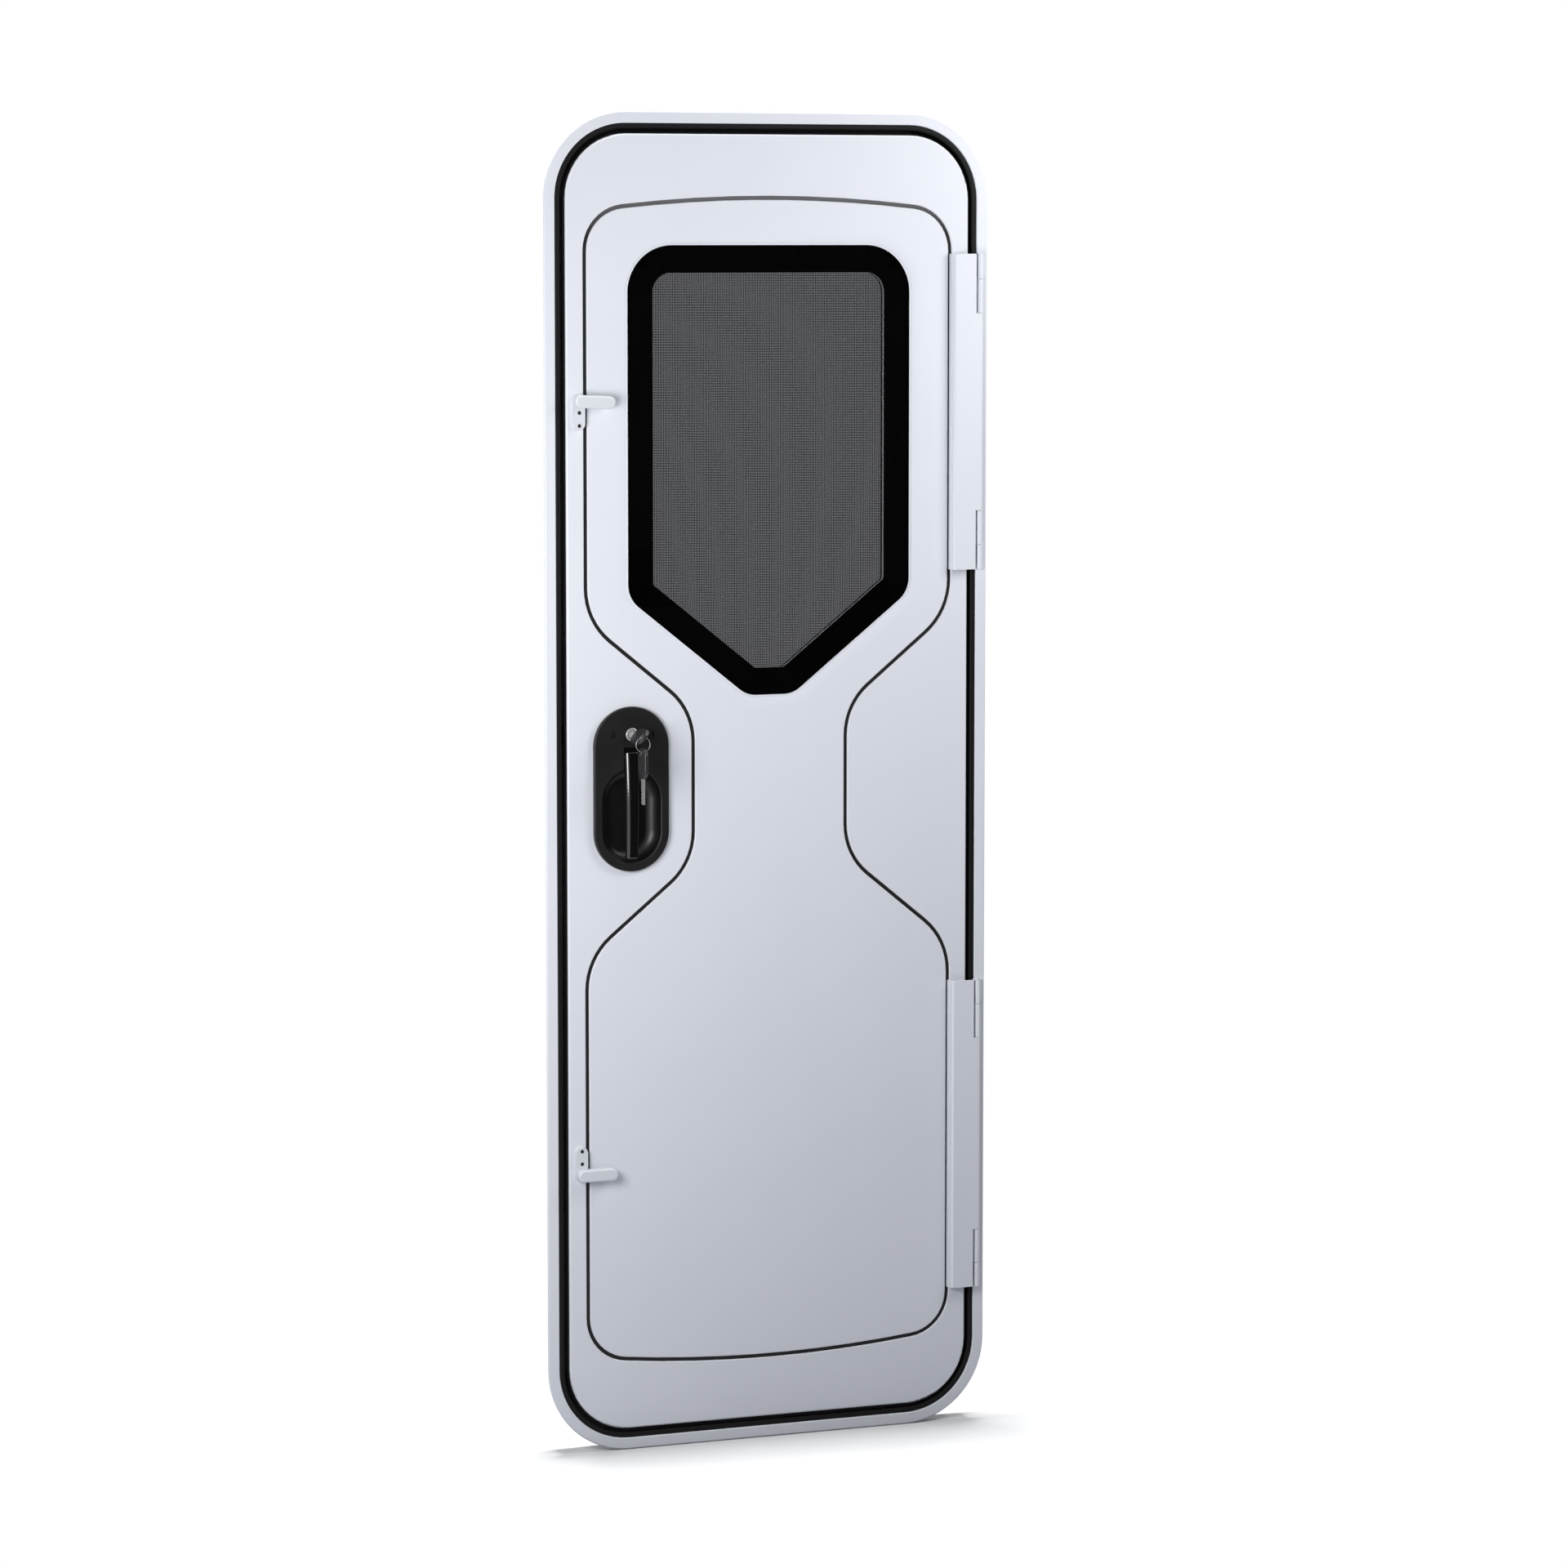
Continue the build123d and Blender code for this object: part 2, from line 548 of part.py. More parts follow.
def hinge_toe_seat(centre):
    """The step in the back of the panel's edge that takes a hinge's toe."""
    low = HINGE_LIP_X - HINGE_TOE - HINGE_TOE_CLEARANCE
    height = HINGE_LENGTH + 2 * HINGE_TOE_CLEARANCE
    seat = Pos((low + HINGE_LIP_X) / 2, centre) * Rectangle(HINGE_LIP_X - low, height)
    return slab(seat, PANEL_BACK - HINGE_PLATE_THICKNESS, PANEL_BACK)


def hinge_lip_room(centre):
    """The stretch of the panel's gap that a hinge's lip and toe take up."""
    toe = HINGE_LIP_X - HINGE_TOE - HINGE_TOE_CLEARANCE
    lip = HINGE_LIP_X - PANEL_BEAD_CLEARANCE
    outer = PANEL_WIDTH / 2 + PANEL_GAP / 2
    height = HINGE_LENGTH + 2 * HINGE_TOE_CLEARANCE
    lip_face = Pos((lip + outer) / 2, centre) * Rectangle(outer - lip, height)
    toe_face = Pos((toe + outer) / 2, centre) * Rectangle(outer - toe, height)
    toe_top = PANEL_BACK - HINGE_PLATE_THICKNESS - PANEL_BEAD_CLEARANCE
    return slab(lip_face, LEAF_FRONT, PANEL_BACK) + slab(toe_face, toe_top, PANEL_BACK)


def hinge_tube(bottom, length):
    """The rolled edge of the hinge plate between the two sets of knuckles."""
    end = HINGE_X - BARREL_DIAMETER / 2 - HINGE_NOTCH_CLEARANCE
    strap = plan_box(end, HINGE_X, HINGE_FRONT, HINGE_FRONT + HINGE_PLATE_THICKNESS)
    tube = barrel(bottom, length) + upright_prism(strap, bottom, length)
    return tube - bore(bottom, length)


def make_hinge(name, centre):
    """One hinge: the panel's plate and tube, the leaf's and frame's knuckles and the pin."""
    bottom = centre - HINGE_LENGTH / 2
    top = centre + HINGE_LENGTH / 2
    step = FRAME_BARREL_LENGTH + BARREL_END_CLEARANCE
    reach = step + LEAF_BARREL_LENGTH + BARREL_END_CLEARANCE
    nodes = {
        "hinge_plate": hinge_plate(bottom, HINGE_LENGTH),
        "hinge_tube": hinge_tube(bottom + reach, HINGE_LENGTH - 2 * reach),
        "frame_knuckle_top": frame_knuckle(top - FRAME_BARREL_LENGTH, FRAME_BARREL_LENGTH),
        "frame_knuckle_bottom": frame_knuckle(bottom, FRAME_BARREL_LENGTH),
        "leaf_knuckle_top": leaf_knuckle(top - step - LEAF_BARREL_LENGTH, LEAF_BARREL_LENGTH),
        "leaf_knuckle_bottom": leaf_knuckle(bottom + step, LEAF_BARREL_LENGTH),
        "hinge_pin": upright(PIN_DIAMETER, bottom, HINGE_LENGTH, HINGE_X, HINGE_AXIS_Y),
    }
    return {f"{name}_{node}": shape for node, shape in nodes.items()}


def latch_shape(throw):
    """The latch bolt in the leaf's left edge, standing out by a throw."""
    back = LEAF_BACK - CORE_INSET
    edge = -LEAF_WIDTH / 2 + CORE_INSET
    length = LATCH_LENGTH + throw + CORE_INSET
    bolt = Box(length, LATCH_WIDTH, LATCH_HEIGHT, align=(Align.MIN, Align.MAX, Align.CENTER))
    return Pos(edge - throw - CORE_INSET, back, CYLINDER_Z) * bolt


def dish_outline(outward):
    """The finger dish in the lower part of the lock plate, grown outward by an amount."""
    width = LOCK_PLATE_WIDTH - 2 * DISH_MARGIN
    centre = (DISH_TOP + DISH_BOTTOM) / 2
    return stadium(width + 2 * outward, DISH_TOP - DISH_BOTTOM + 2 * outward, LOCK_X, centre)


def handle_channel(clearance):
    """The column that the handle lies in, from its top down to the dish."""
    low = (DISH_TOP + DISH_BOTTOM) / 2
    high = HANDLE_TOP + HANDLE_SLOT_ABOVE
    width = HANDLE_WIDTH + 2 * clearance
    return Pos(LOCK_X, (low + high) / 2) * Rectangle(width, high - low)


def cylinder_groove():
    """The shallow groove that carries the handle's channel on up to the cylinder's seat."""
    low = HANDLE_TOP + HANDLE_SLOT_ABOVE
    width = HANDLE_WIDTH + 2 * HANDLE_CLEARANCE
    strip = Pos(LOCK_X, (low + CYLINDER_Z) / 2) * Rectangle(width, CYLINDER_Z - low)
    seat = Pos(LOCK_X, CYLINDER_Z) * Circle(CYLINDER_DIAMETER / 2 + CYLINDER_SEAT)
    return slab(strip - seat, LOCK_FRONT, LOCK_FRONT + GROOVE_DEPTH)


def make_lock_plate():
    """The moulded plate with its dish, the handle's channel and the cylinder's seat."""
    outline = stadium(LOCK_PLATE_WIDTH, LOCK_PLATE_HEIGHT, LOCK_X, LEAF_CENTRE)
    plate = slab(outline, LOCK_FRONT, LEAF_FRONT)
    plate = fillet(edges_at(plate, LOCK_FRONT), LOCK_PLATE_EDGE_RADIUS)
    housing = slab(dish_outline(LOCK_HOUSING_WALL), LEAF_FRONT, DISH_FLOOR + LOCK_HOUSING_WALL)
    channel_floor = LOCK_FRONT - HANDLE_PROUD + HANDLE_THICKNESS + HANDLE_BACK_CLEARANCE
    housing += slab(
        offset(handle_channel(HANDLE_CLEARANCE), LOCK_HOUSING_WALL),
        LEAF_FRONT,
        channel_floor + LOCK_HOUSING_WALL,
    )
    dish = slab(dish_outline(0), LOCK_FRONT, DISH_FLOOR)
    dish = fillet(edges_at(dish, DISH_FLOOR), DISH_FLOOR_RADIUS)
    rim_top = at_level(dish_outline(DISH_RIM), LOCK_FRONT)
    rim_foot = at_level(dish_outline(0), LOCK_FRONT + DISH_RIM)
    rim = loft([rim_top, rim_foot])
    body = plate + housing - dish - rim
    body -= slab(handle_channel(HANDLE_CLEARANCE), LOCK_FRONT, channel_floor)
    body -= cylinder_groove()
    body -= outward_rod(
        PLUG_DIAMETER + 2 * PLUG_CLEARANCE, LOCK_FRONT, LEAF_FRONT, LOCK_X, CYLINDER_Z
    )
    screw_floor = LOCK_FRONT + LOCK_SCREW_RECESS_DEPTH
    for side in (-1, 1):
        x = LOCK_X + side * LOCK_SCREW_SPACING / 2
        body -= outward_rod(LOCK_SCREW_RECESS, LOCK_FRONT, screw_floor, x, CYLINDER_Z)
    return body


def make_cylinder_bezel():
    """The bright collar round the lock's plug."""
    front = LOCK_FRONT - CYLINDER_PROUD
    outline = Pos(LOCK_X, CYLINDER_Z) * Circle(CYLINDER_DIAMETER / 2)
    hole = Pos(LOCK_X, CYLINDER_Z) * Circle(PLUG_DIAMETER / 2 + PLUG_CLEARANCE)
    bezel = slab(outline - hole, front, LOCK_FRONT)
    return fillet(edges_on(bezel, outline, front), CYLINDER_EDGE_RADIUS)


def handle_pin(diameter, length):
    """A rod across the door on the handle's pivot."""
    y = LOCK_FRONT - HANDLE_PROUD + HANDLE_THICKNESS / 2
    rod = Rot(0, 90, 0) * Cylinder(diameter / 2, length)
    return Pos(LOCK_X, y, HANDLE_TOP - HANDLE_PIN_DROP) * rod


def handle_outline():
    """The handle seen from outside, a little narrower at its foot."""
    top = HANDLE_WIDTH / 2
    foot = HANDLE_FOOT_WIDTH / 2
    corners = [(-top, HANDLE_TOP), (top, HANDLE_TOP), (foot, HANDLE_BOTTOM), (-foot, HANDLE_BOTTOM)]
    return Pos(LOCK_X, 0) * make_face(Polyline(*corners, close=True))


def end_edges(part, height):
    """The edges of an upright part that lie wholly at one height."""
    return [e for e in part.edges() if all(abs(v.Z - height) < NEAR for v in e.vertices())]


def make_handle():
    """The pull handle, hung from a pin at its top, bowed a little towards the hand."""
    front = LOCK_FRONT - HANDLE_PROUD
    back = front + HANDLE_THICKNESS
    middle = (HANDLE_BOTTOM + HANDLE_TOP) / 2
    side = make_face(
        [
            ThreePointArc((front, HANDLE_BOTTOM), (front - HANDLE_BOW, middle), (front, HANDLE_TOP)),
            Line((front, HANDLE_TOP), (back, HANDLE_TOP)),
            ThreePointArc((back, HANDLE_TOP), (back - HANDLE_BOW, middle), (back, HANDLE_BOTTOM)),
            Line((back, HANDLE_BOTTOM), (front, HANDLE_BOTTOM)),
        ]
    )
    strip = extrude(Plane.YZ.offset(LOCK_X - HANDLE_WIDTH / 2) * side, HANDLE_WIDTH)
    strip &= slab(handle_outline(), front - HANDLE_BOW, back)
    long_edges = [e for e in strip.edges() if e.bounding_box().size.Z > HANDLE_WIDTH]
    strip = fillet([e for e in long_edges if e.vertices()[0].Y < front + NEAR], HANDLE_EDGE_RADIUS)
    long_edges = [e for e in strip.edges() if e.bounding_box().size.Z > HANDLE_WIDTH]
    strip = fillet([e for e in long_edges if e.vertices()[0].Y > back - NEAR], HANDLE_BACK_RADIUS)
    strip = fillet(end_edges(strip, HANDLE_TOP), HANDLE_TOP_RADIUS)
    strip = fillet(end_edges(strip, HANDLE_BOTTOM), HANDLE_FOOT_RADIUS)
    return strip - handle_pin(HANDLE_PIN_DIAMETER + 2 * HANDLE_PIN_CLEARANCE, HANDLE_WIDTH)


def key_plan(blade):
    """A key's bow and blade drawn flat, with the bow's hole at the origin and the blade upward."""
    end = -KEY_HOLE_FROM_END
    bow = Pos(0, end + KEY_BOW_LENGTH / 2) * RectangleRounded(
        KEY_BOW_WIDTH, KEY_BOW_LENGTH, KEY_BOW_CORNER
    )
    shank = Pos(0, end + KEY_BOW_LENGTH + blade / 2) * Rectangle(KEY_BLADE_WIDTH, blade)
    return bow, shank


def key_solids(blade):
    """The moulded bow, round at its edges and its hole, and the blade that leaves it."""
    bow_face, shank_face = key_plan(blade)
    half = KEY_BOW_THICKNESS / 2
    bow = extrude(bow_face, half, both=True)
    bow = fillet(bow.edges().filter_by(Axis.Z, reverse=True), KEY_BOW_EDGE)
    hole = Cylinder(KEY_HOLE_DIAMETER / 2, KEY_BOW_THICKNESS)
    bow -= hole
    circles = bow.edges().filter_by(GeomType.CIRCLE)
    rim = [e for e in circles if abs(e.radius - KEY_HOLE_DIAMETER / 2) < NEAR]
    bow = fillet(rim, KEY_HOLE_LIP)
    shank = extrude(shank_face, KEY_BLADE_THICKNESS / 2, both=True)
    tip = KEY_BOW_LENGTH - KEY_HOLE_FROM_END + blade
    cuts = [
        Pos(KEY_BLADE_WIDTH / 2, tip - number * KEY_CUT_PITCH)
        * Rot(0, 0, 45)
        * Box(KEY_CUT, KEY_CUT, KEY_BLADE_THICKNESS)
        for number in range(KEY_CUTS)
    ]
    return bow, shank - cuts


def make_keys():
    """The key in the lock, the ring through its bow and the spare key that hangs on the ring."""
    hole_out = LOCK_FRONT - CYLINDER_PROUD - KEY_BLADE_SHOWN - KEY_BOW_LENGTH + KEY_HOLE_FROM_END
    turned = Pos(LOCK_X, hole_out, CYLINDER_Z) * Rot(0, KEY_TURN_DEGREES, 0) * Rot(0, 90, 0)
    bow, blade = key_solids(KEY_BLADE_SHOWN + KEY_BLADE_IN_PLUG)
    ring_radius = (RING_DIAMETER - RING_WIRE) / 2
    ring_centre = CYLINDER_Z - ring_radius
    ring = Pos(LOCK_X, hole_out, ring_centre) * Rot(90, 0, 0) * Torus(ring_radius, RING_WIRE / 2)
    spare_hole = ring_centre - ring_radius + RING_WIRE / 2 - KEY_HOLE_DIAMETER / 2 + SPARE_HANG_CLEARANCE
    hung = Pos(LOCK_X, hole_out, spare_hole) * Rot(0, 0, 90 + SPARE_TURN_DEGREES) * Rot(-90, 0, 0)
    spare_bow, spare_blade = key_solids(SPARE_BLADE_LENGTH)
    plug_front = LOCK_FRONT - CYLINDER_PROUD
    plug = outward_rod(PLUG_DIAMETER, plug_front, plug_front + PLUG_LENGTH, LOCK_X, CYLINDER_Z)
    blade = turned * blade
    return {
        "lock_plug": plug - blade,
        "key_bow": turned * bow,
        "key_blade": blade,
        "key_ring": ring,
        "spare_key_bow": hung * spare_bow,
        "spare_key_blade": hung * spare_blade,
    }


def make_clip(name, side, tilt):
    """A turn clip: a drafted base on the leaf and an arm on its pivot, reaching over the panel."""
    pivot_z = LEAF_CENTRE + side * CLIP_OFFSET
    base_centre = pivot_z - side * (CLIP_BASE_LENGTH - CLIP_BASE_WIDTH) / 2
    face = stadium(CLIP_BASE_WIDTH, CLIP_BASE_LENGTH, CLIP_X, base_centre)
    front = LEAF_FRONT - CLIP_BASE_THICKNESS
    base = extrude(at_level(face, LEAF_FRONT), CLIP_BASE_THICKNESS, taper=CLIP_DRAFT_DEGREES)
    arm_back = front - CLIP_ARM_GAP
    arm_front = arm_back - CLIP_ARM_THICKNESS
    bore_end = arm_front + CLIP_PIVOT_COVER
    base += outward_rod(CLIP_PIVOT_DIAMETER, bore_end + CLIP_PIVOT_END_CLEARANCE, front, CLIP_X, pivot_z)
    for number in range(2):
        screw_z = pivot_z - side * (CLIP_SCREW_FROM_PIVOT + number * CLIP_SCREW_PITCH)
        base -= outward_rod(CLIP_SCREW_RECESS, front, front + CLIP_SCREW_RECESS_DEPTH, CLIP_X, screw_z)
    arm_face = Pos(CLIP_ARM_LENGTH / 2 - CLIP_ARM_WIDTH / 2) * SlotOverall(CLIP_ARM_LENGTH, CLIP_ARM_WIDTH)
    placed = Pos(CLIP_X, pivot_z) * Rot(0, 0, -tilt) * arm_face
    arm = slab(placed, arm_front, arm_back)
    arm = fillet(edges_at(arm, arm_front), CLIP_ARM_EDGE_RADIUS)
    arm -= outward_rod(
        CLIP_PIVOT_DIAMETER + 2 * CLIP_PIVOT_CLEARANCE, bore_end, arm_back, CLIP_X, pivot_z
    )
    return {f"{name}_clip_base": base, f"{name}_clip_arm": arm}


def make_inner_lock():
    """The plain cover of the lock on the inside and its lever."""
    cover_back = LEAF_BACK + INNER_COVER_PROUD
    cover = slab(stadium(INNER_COVER_WIDTH, INNER_COVER_HEIGHT, LOCK_X, LEAF_CENTRE), LEAF_BACK, cover_back)
    cover = fillet(edges_at(cover, cover_back), INNER_COVER_EDGE_RADIUS)
    lever_x = LOCK_X + INNER_LEVER_LENGTH / 2 - INNER_LEVER_WIDTH / 2
    lever_face = Pos(lever_x, LEAF_CENTRE) * SlotOverall(INNER_LEVER_LENGTH, INNER_LEVER_WIDTH)
    lever_front = cover_back + INNER_LEVER_STANDOFF
    lever = slab(lever_face, lever_front, lever_front + INNER_LEVER_THICKNESS)
    lever = fillet(lever.edges(), INNER_LEVER_EDGE_RADIUS)
    hub_back = lever_front + INNER_LEVER_THICKNESS / 2
    hub = outward_rod(INNER_LEVER_WIDTH, cover_back, hub_back, LOCK_X, LEAF_CENTRE)
    return {"inner_lock_cover": cover, "inner_lever": lever + hub}


def make_door():
    """Every piece of the door by its name."""
    pieces = make_frame()
    pieces["frame_seal"] = make_frame_seal()
    pieces["strike_plate"] = make_strike()
    pieces |= make_surround()
    pieces["leaf_edge_seal"] = make_edge_seal()
    pieces["outer_panel"] = make_panel()
    pieces["panel_seal"] = make_panel_seal()
    pieces |= make_window()
    pieces |= make_mesh()
    pieces |= make_hinge("upper", HINGE_CENTRES[0])
    pieces |= make_hinge("lower", HINGE_CENTRES[1])
    pieces["lock_plate"] = make_lock_plate()
    pieces["cylinder_bezel"] = make_cylinder_bezel()
    pieces["pull_handle"] = make_handle()
    pieces["handle_pin"] = handle_pin(HANDLE_PIN_DIAMETER, HANDLE_WIDTH + 2 * HANDLE_CLEARANCE)
    pieces["latch_bolt"] = latch_shape(LATCH_THROW)
    pieces |= make_keys()
    pieces |= make_clip("upper", 1, UPPER_CLIP_TILT_DEGREES)
    pieces |= make_clip("lower", -1, 0)
    pieces |= make_inner_lock()
    return pieces


os.makedirs("parts", exist_ok=True)
for node, shape in make_door().items():
    export_step(shape, f"parts/{node}.step")
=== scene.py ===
import json
from math import atan2, cos, pi, radians, sin

import bmesh
import bpy
import numpy as np
from mathutils import Matrix, Vector


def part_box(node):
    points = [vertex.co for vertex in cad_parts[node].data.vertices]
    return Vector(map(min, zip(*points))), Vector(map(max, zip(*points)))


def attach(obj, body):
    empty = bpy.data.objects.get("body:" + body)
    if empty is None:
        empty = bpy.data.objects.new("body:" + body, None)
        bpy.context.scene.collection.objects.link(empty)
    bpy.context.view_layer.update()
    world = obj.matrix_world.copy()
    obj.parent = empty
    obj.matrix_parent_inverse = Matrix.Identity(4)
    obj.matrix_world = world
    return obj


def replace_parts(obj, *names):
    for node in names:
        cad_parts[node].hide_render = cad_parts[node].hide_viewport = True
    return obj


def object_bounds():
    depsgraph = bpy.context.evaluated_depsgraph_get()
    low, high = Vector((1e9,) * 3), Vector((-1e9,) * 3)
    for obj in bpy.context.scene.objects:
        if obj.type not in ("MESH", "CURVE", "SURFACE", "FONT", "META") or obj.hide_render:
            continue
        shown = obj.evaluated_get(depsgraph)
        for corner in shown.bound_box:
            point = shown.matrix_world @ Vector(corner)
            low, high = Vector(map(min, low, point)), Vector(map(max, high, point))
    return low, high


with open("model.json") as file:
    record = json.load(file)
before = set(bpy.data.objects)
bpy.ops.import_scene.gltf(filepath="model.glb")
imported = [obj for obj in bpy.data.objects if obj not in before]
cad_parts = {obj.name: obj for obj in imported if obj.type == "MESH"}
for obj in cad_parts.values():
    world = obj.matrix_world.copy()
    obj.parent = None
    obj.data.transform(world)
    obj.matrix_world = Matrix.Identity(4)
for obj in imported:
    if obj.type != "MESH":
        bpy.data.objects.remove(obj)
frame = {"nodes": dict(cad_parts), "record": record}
cad_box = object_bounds()
nodes = frame["nodes"]

# Colours, in linear light
PAINT_LIGHT = (0.800, 0.819, 0.872)
PAINT_DARK = (0.785, 0.805, 0.862)
MESH_FRAME_LIGHT = (0.74, 0.755, 0.79)
MESH_FRAME_DARK = (0.71, 0.725, 0.76)
CLIP_LIGHT = (0.730, 0.748, 0.795)
CLIP_DARK = (0.710, 0.728, 0.775)
GLASS_TINT = (0.219, 0.225, 0.233)
GLASS_REFRACTION = 1.45

# Where finishes, painted light and painted shade change, in metres
DISH_RIM_DEPTH = 0.0012
DISH_WALL_DEPTH = 0.0040
LINER_PAINTED_LIGHT_DEPTH = 0.0048
LINER_BLACK_DEPTH = 0.0054
SEAL_PAINTED_LIGHT_START = 0.0545
SEAL_PAINTED_LIGHT_END = 0.0045
STOP_SHADE_START = 0.018
STOP_SHADE_END = 0.012

# How far a face looks outward, as the depth share of its normal, for the painted shade on the frame's stop
FACING_ASIDE = -0.5
FACING_OUTWARD = -0.9

# Grain of the finishes, in metres and shares
SOFT_RELIEF = 0.0002
FINE_RELIEF = 0.0001
PATCH_SCALE = 6.0
GLOSS_PATCH_RATIO = 3.1
NOISE_LOW = 0.3
NOISE_HIGH = 0.7
EVEN_GRAIN = (1, 1, 1)
UPRIGHT_GRAIN = (1, 1, 0.2)

# Screws, in metres
LOCK_SCREW_RADIUS = 0.0042
LOCK_SCREW_HEIGHT = 0.0018
LOCK_SCREW_OFFSET = 0.029
LOCK_SCREW_DEPTH = 0.003
CLIP_SCREW_RADIUS = 0.0026
CLIP_SCREW_HEIGHT = 0.0013
CLIP_SCREW_FIRST = 0.016
CLIP_SCREW_PITCH = 0.018
CLIP_SCREW_DEPTH = 0.002
CLIP_ARM_GAP = 0.0004
INNER_SCREW_RADIUS = 0.0036
INNER_SCREW_HEIGHT = 0.0018
INNER_SCREW_OFFSET = 0.076

# Screw heads, in shares of their radius and height
RECESS_LENGTH = 1.15
RECESS_WIDTH = 0.32
RECESS_DEPTH = 0.75
RECESS_LIP = 1.06
RECESS_EDGE_LEVEL = 0.97
RECESS_FLOOR = 0.8
HEAD_PROFILE = [(1.0, 0.0), (1.0, 0.45), (0.95, 0.70), (0.84, 0.88), (0.72, 0.96)]
HEAD_HALF_SIDES = 24

# Split ring, in metres, turns and degrees
RING_WIRE_RADIUS = 0.00031
RING_INSET = 0.0006
RING_STEP_PLACE = 0.85
RING_STEP_LENGTH = 40
RING_END_GAP = 12
RING_START = 60
RING_STATIONS = 192
RING_HALF_SIDES = 4

# Security mesh, in metres
MESH_PITCH = 0.00231
MESH_WIRE_RADIUS = 0.00047
MESH_WIRE_HALF_SIDES = 3
FLAT_TOLERANCE = 1e-5

# Camera, in pixels of the photograph, millimetres, metres and degrees
PHOTO_PIXELS = 1920
FOCAL_PIXELS = 6447.4
SENSOR_WIDTH = 36.0
CAMERA_PLACE = (-2.7626, -6.8907, 1.718)
CAMERA_YAW = 22.0162
CAMERA_PITCH = -5.975
CAMERA_REACH = 100

# Stage, in metres and linear light
ROOM_TINT = (0.80, 0.90, 1.0)
ROOM_STRENGTH = 0.075
FLOOR_PALE = (0.82, 0.82, 0.82)
FLOOR_BOUNCE = (0.232, 0.238, 0.268)
FLOOR_FADE_START = 0.34
FLOOR_FADE_END = 0.8
FLOOR_REACH = 30
FLOOR_DROP = 0.0005
FLAG_DARK = (0.006, 0.006, 0.0065)
FLAG_LEFT = -0.4
FLAG_RIGHT = 3.0
FLAG_FRONT = -3.4
FLAG_NEAR = -1.2
FLAG_BACK = 1.5
FLAG_LOW = 0.002
FLAG_HIGH = 2.9


# Materials


def feed(tree, socket, source):
    """Give an input a fixed value or the output that drives it."""
    if isinstance(source, bpy.types.NodeSocket):
        tree.links.new(source, socket)
    else:
        socket.default_value = source


def opaque(colour):
    """A colour with full cover."""
    return (*colour, 1)


def empty_tree(owner):
    """The cleared node tree of a material or world."""
    owner.use_nodes = True
    owner.node_tree.nodes.clear()
    return owner.node_tree


def new_material(name):
    """A material with nothing but its main shader."""
    mat = bpy.data.materials.new(name)
    tree = empty_tree(mat)
    shader = tree.nodes.new("ShaderNodeBsdfPrincipled")
    output = tree.nodes.new("ShaderNodeOutputMaterial")
    feed(tree, output.inputs["Surface"], shader.outputs["BSDF"])
    return mat, tree, shader


def noise(tree, scale, detail=2.0, stretch=EVEN_GRAIN):
    """A noise value over the part's own coordinates, in metres."""
    coords = tree.nodes.new("ShaderNodeTexCoord")
    mapping = tree.nodes.new("ShaderNodeMapping")
    texture = tree.nodes.new("ShaderNodeTexNoise")
    feed(tree, mapping.inputs["Scale"], stretch)
    feed(tree, mapping.inputs["Vector"], coords.outputs["Object"])
    feed(tree, texture.inputs["Scale"], scale)
    feed(tree, texture.inputs["Detail"], detail)
    feed(tree, texture.inputs["Vector"], mapping.outputs["Vector"])
    return texture.outputs["Fac"]


def map_range(tree, value, start, end, low=0.0, high=1.0):
    """Lead a value from one range over to another."""
    node = tree.nodes.new("ShaderNodeMapRange")
    feed(tree, node.inputs["Value"], value)
    feed(tree, node.inputs["From Min"], start)
    feed(tree, node.inputs["From Max"], end)
    feed(tree, node.inputs["To Min"], low)
    feed(tree, node.inputs["To Max"], high)
    return node.outputs["Result"]


def spread(tree, value, low, high):
    """Map a noise value to a range."""
    return map_range(tree, value, NOISE_LOW, NOISE_HIGH, low, high)


def mix_colours(tree, level, first, second):
    """Mix two colours by a level from 0 to 1."""
    node = tree.nodes.new("ShaderNodeMix")
    node.data_type = "RGBA"
    colours = [socket for socket in node.inputs if socket.type == "RGBA"]
    feed(tree, node.inputs[0], level)
    feed(tree, colours[0], first)
    feed(tree, colours[1], second)
    return next(socket for socket in node.outputs if socket.type == "RGBA")


def combine(tree, operation, first, second):
    """One value worked out from two."""
    node = tree.nodes.new("ShaderNodeMath")
    node.operation = operation
    feed(tree, node.inputs[0], first)
    feed(tree, node.inputs[1], second)
    return node.outputs["Value"]


def mix_shaders(tree, level, first, second):
    """Mix two shaders by a level from 0 to 1."""
    node = tree.nodes.new("ShaderNodeMixShader")
    feed(tree, node.inputs["Fac"], level)
    feed(tree, node.inputs[1], first)
    feed(tree, node.inputs[2], second)
    return node.outputs["Shader"]


def bump(tree, shader, value, strength, depth):
    """A fine relief on the shader's normal."""
    node = tree.nodes.new("ShaderNodeBump")
    feed(tree, node.inputs["Strength"], strength)
    feed(tree, node.inputs["Distance"], depth)
    feed(tree, node.inputs["Height"], value)
    feed(tree, shader.inputs["Normal"], node.outputs["Normal"])


def ramp_along(tree, axis, start, end, kind="Object"):
    """A value that goes from 0 to 1 between two places along an axis, or between two leans of the face."""
    coords = tree.nodes.new("ShaderNodeTexCoord")
    parts = tree.nodes.new("ShaderNodeSeparateXYZ")
    feed(tree, parts.inputs["Vector"], coords.outputs[kind])
    return map_range(tree, parts.outputs[axis], start, end)


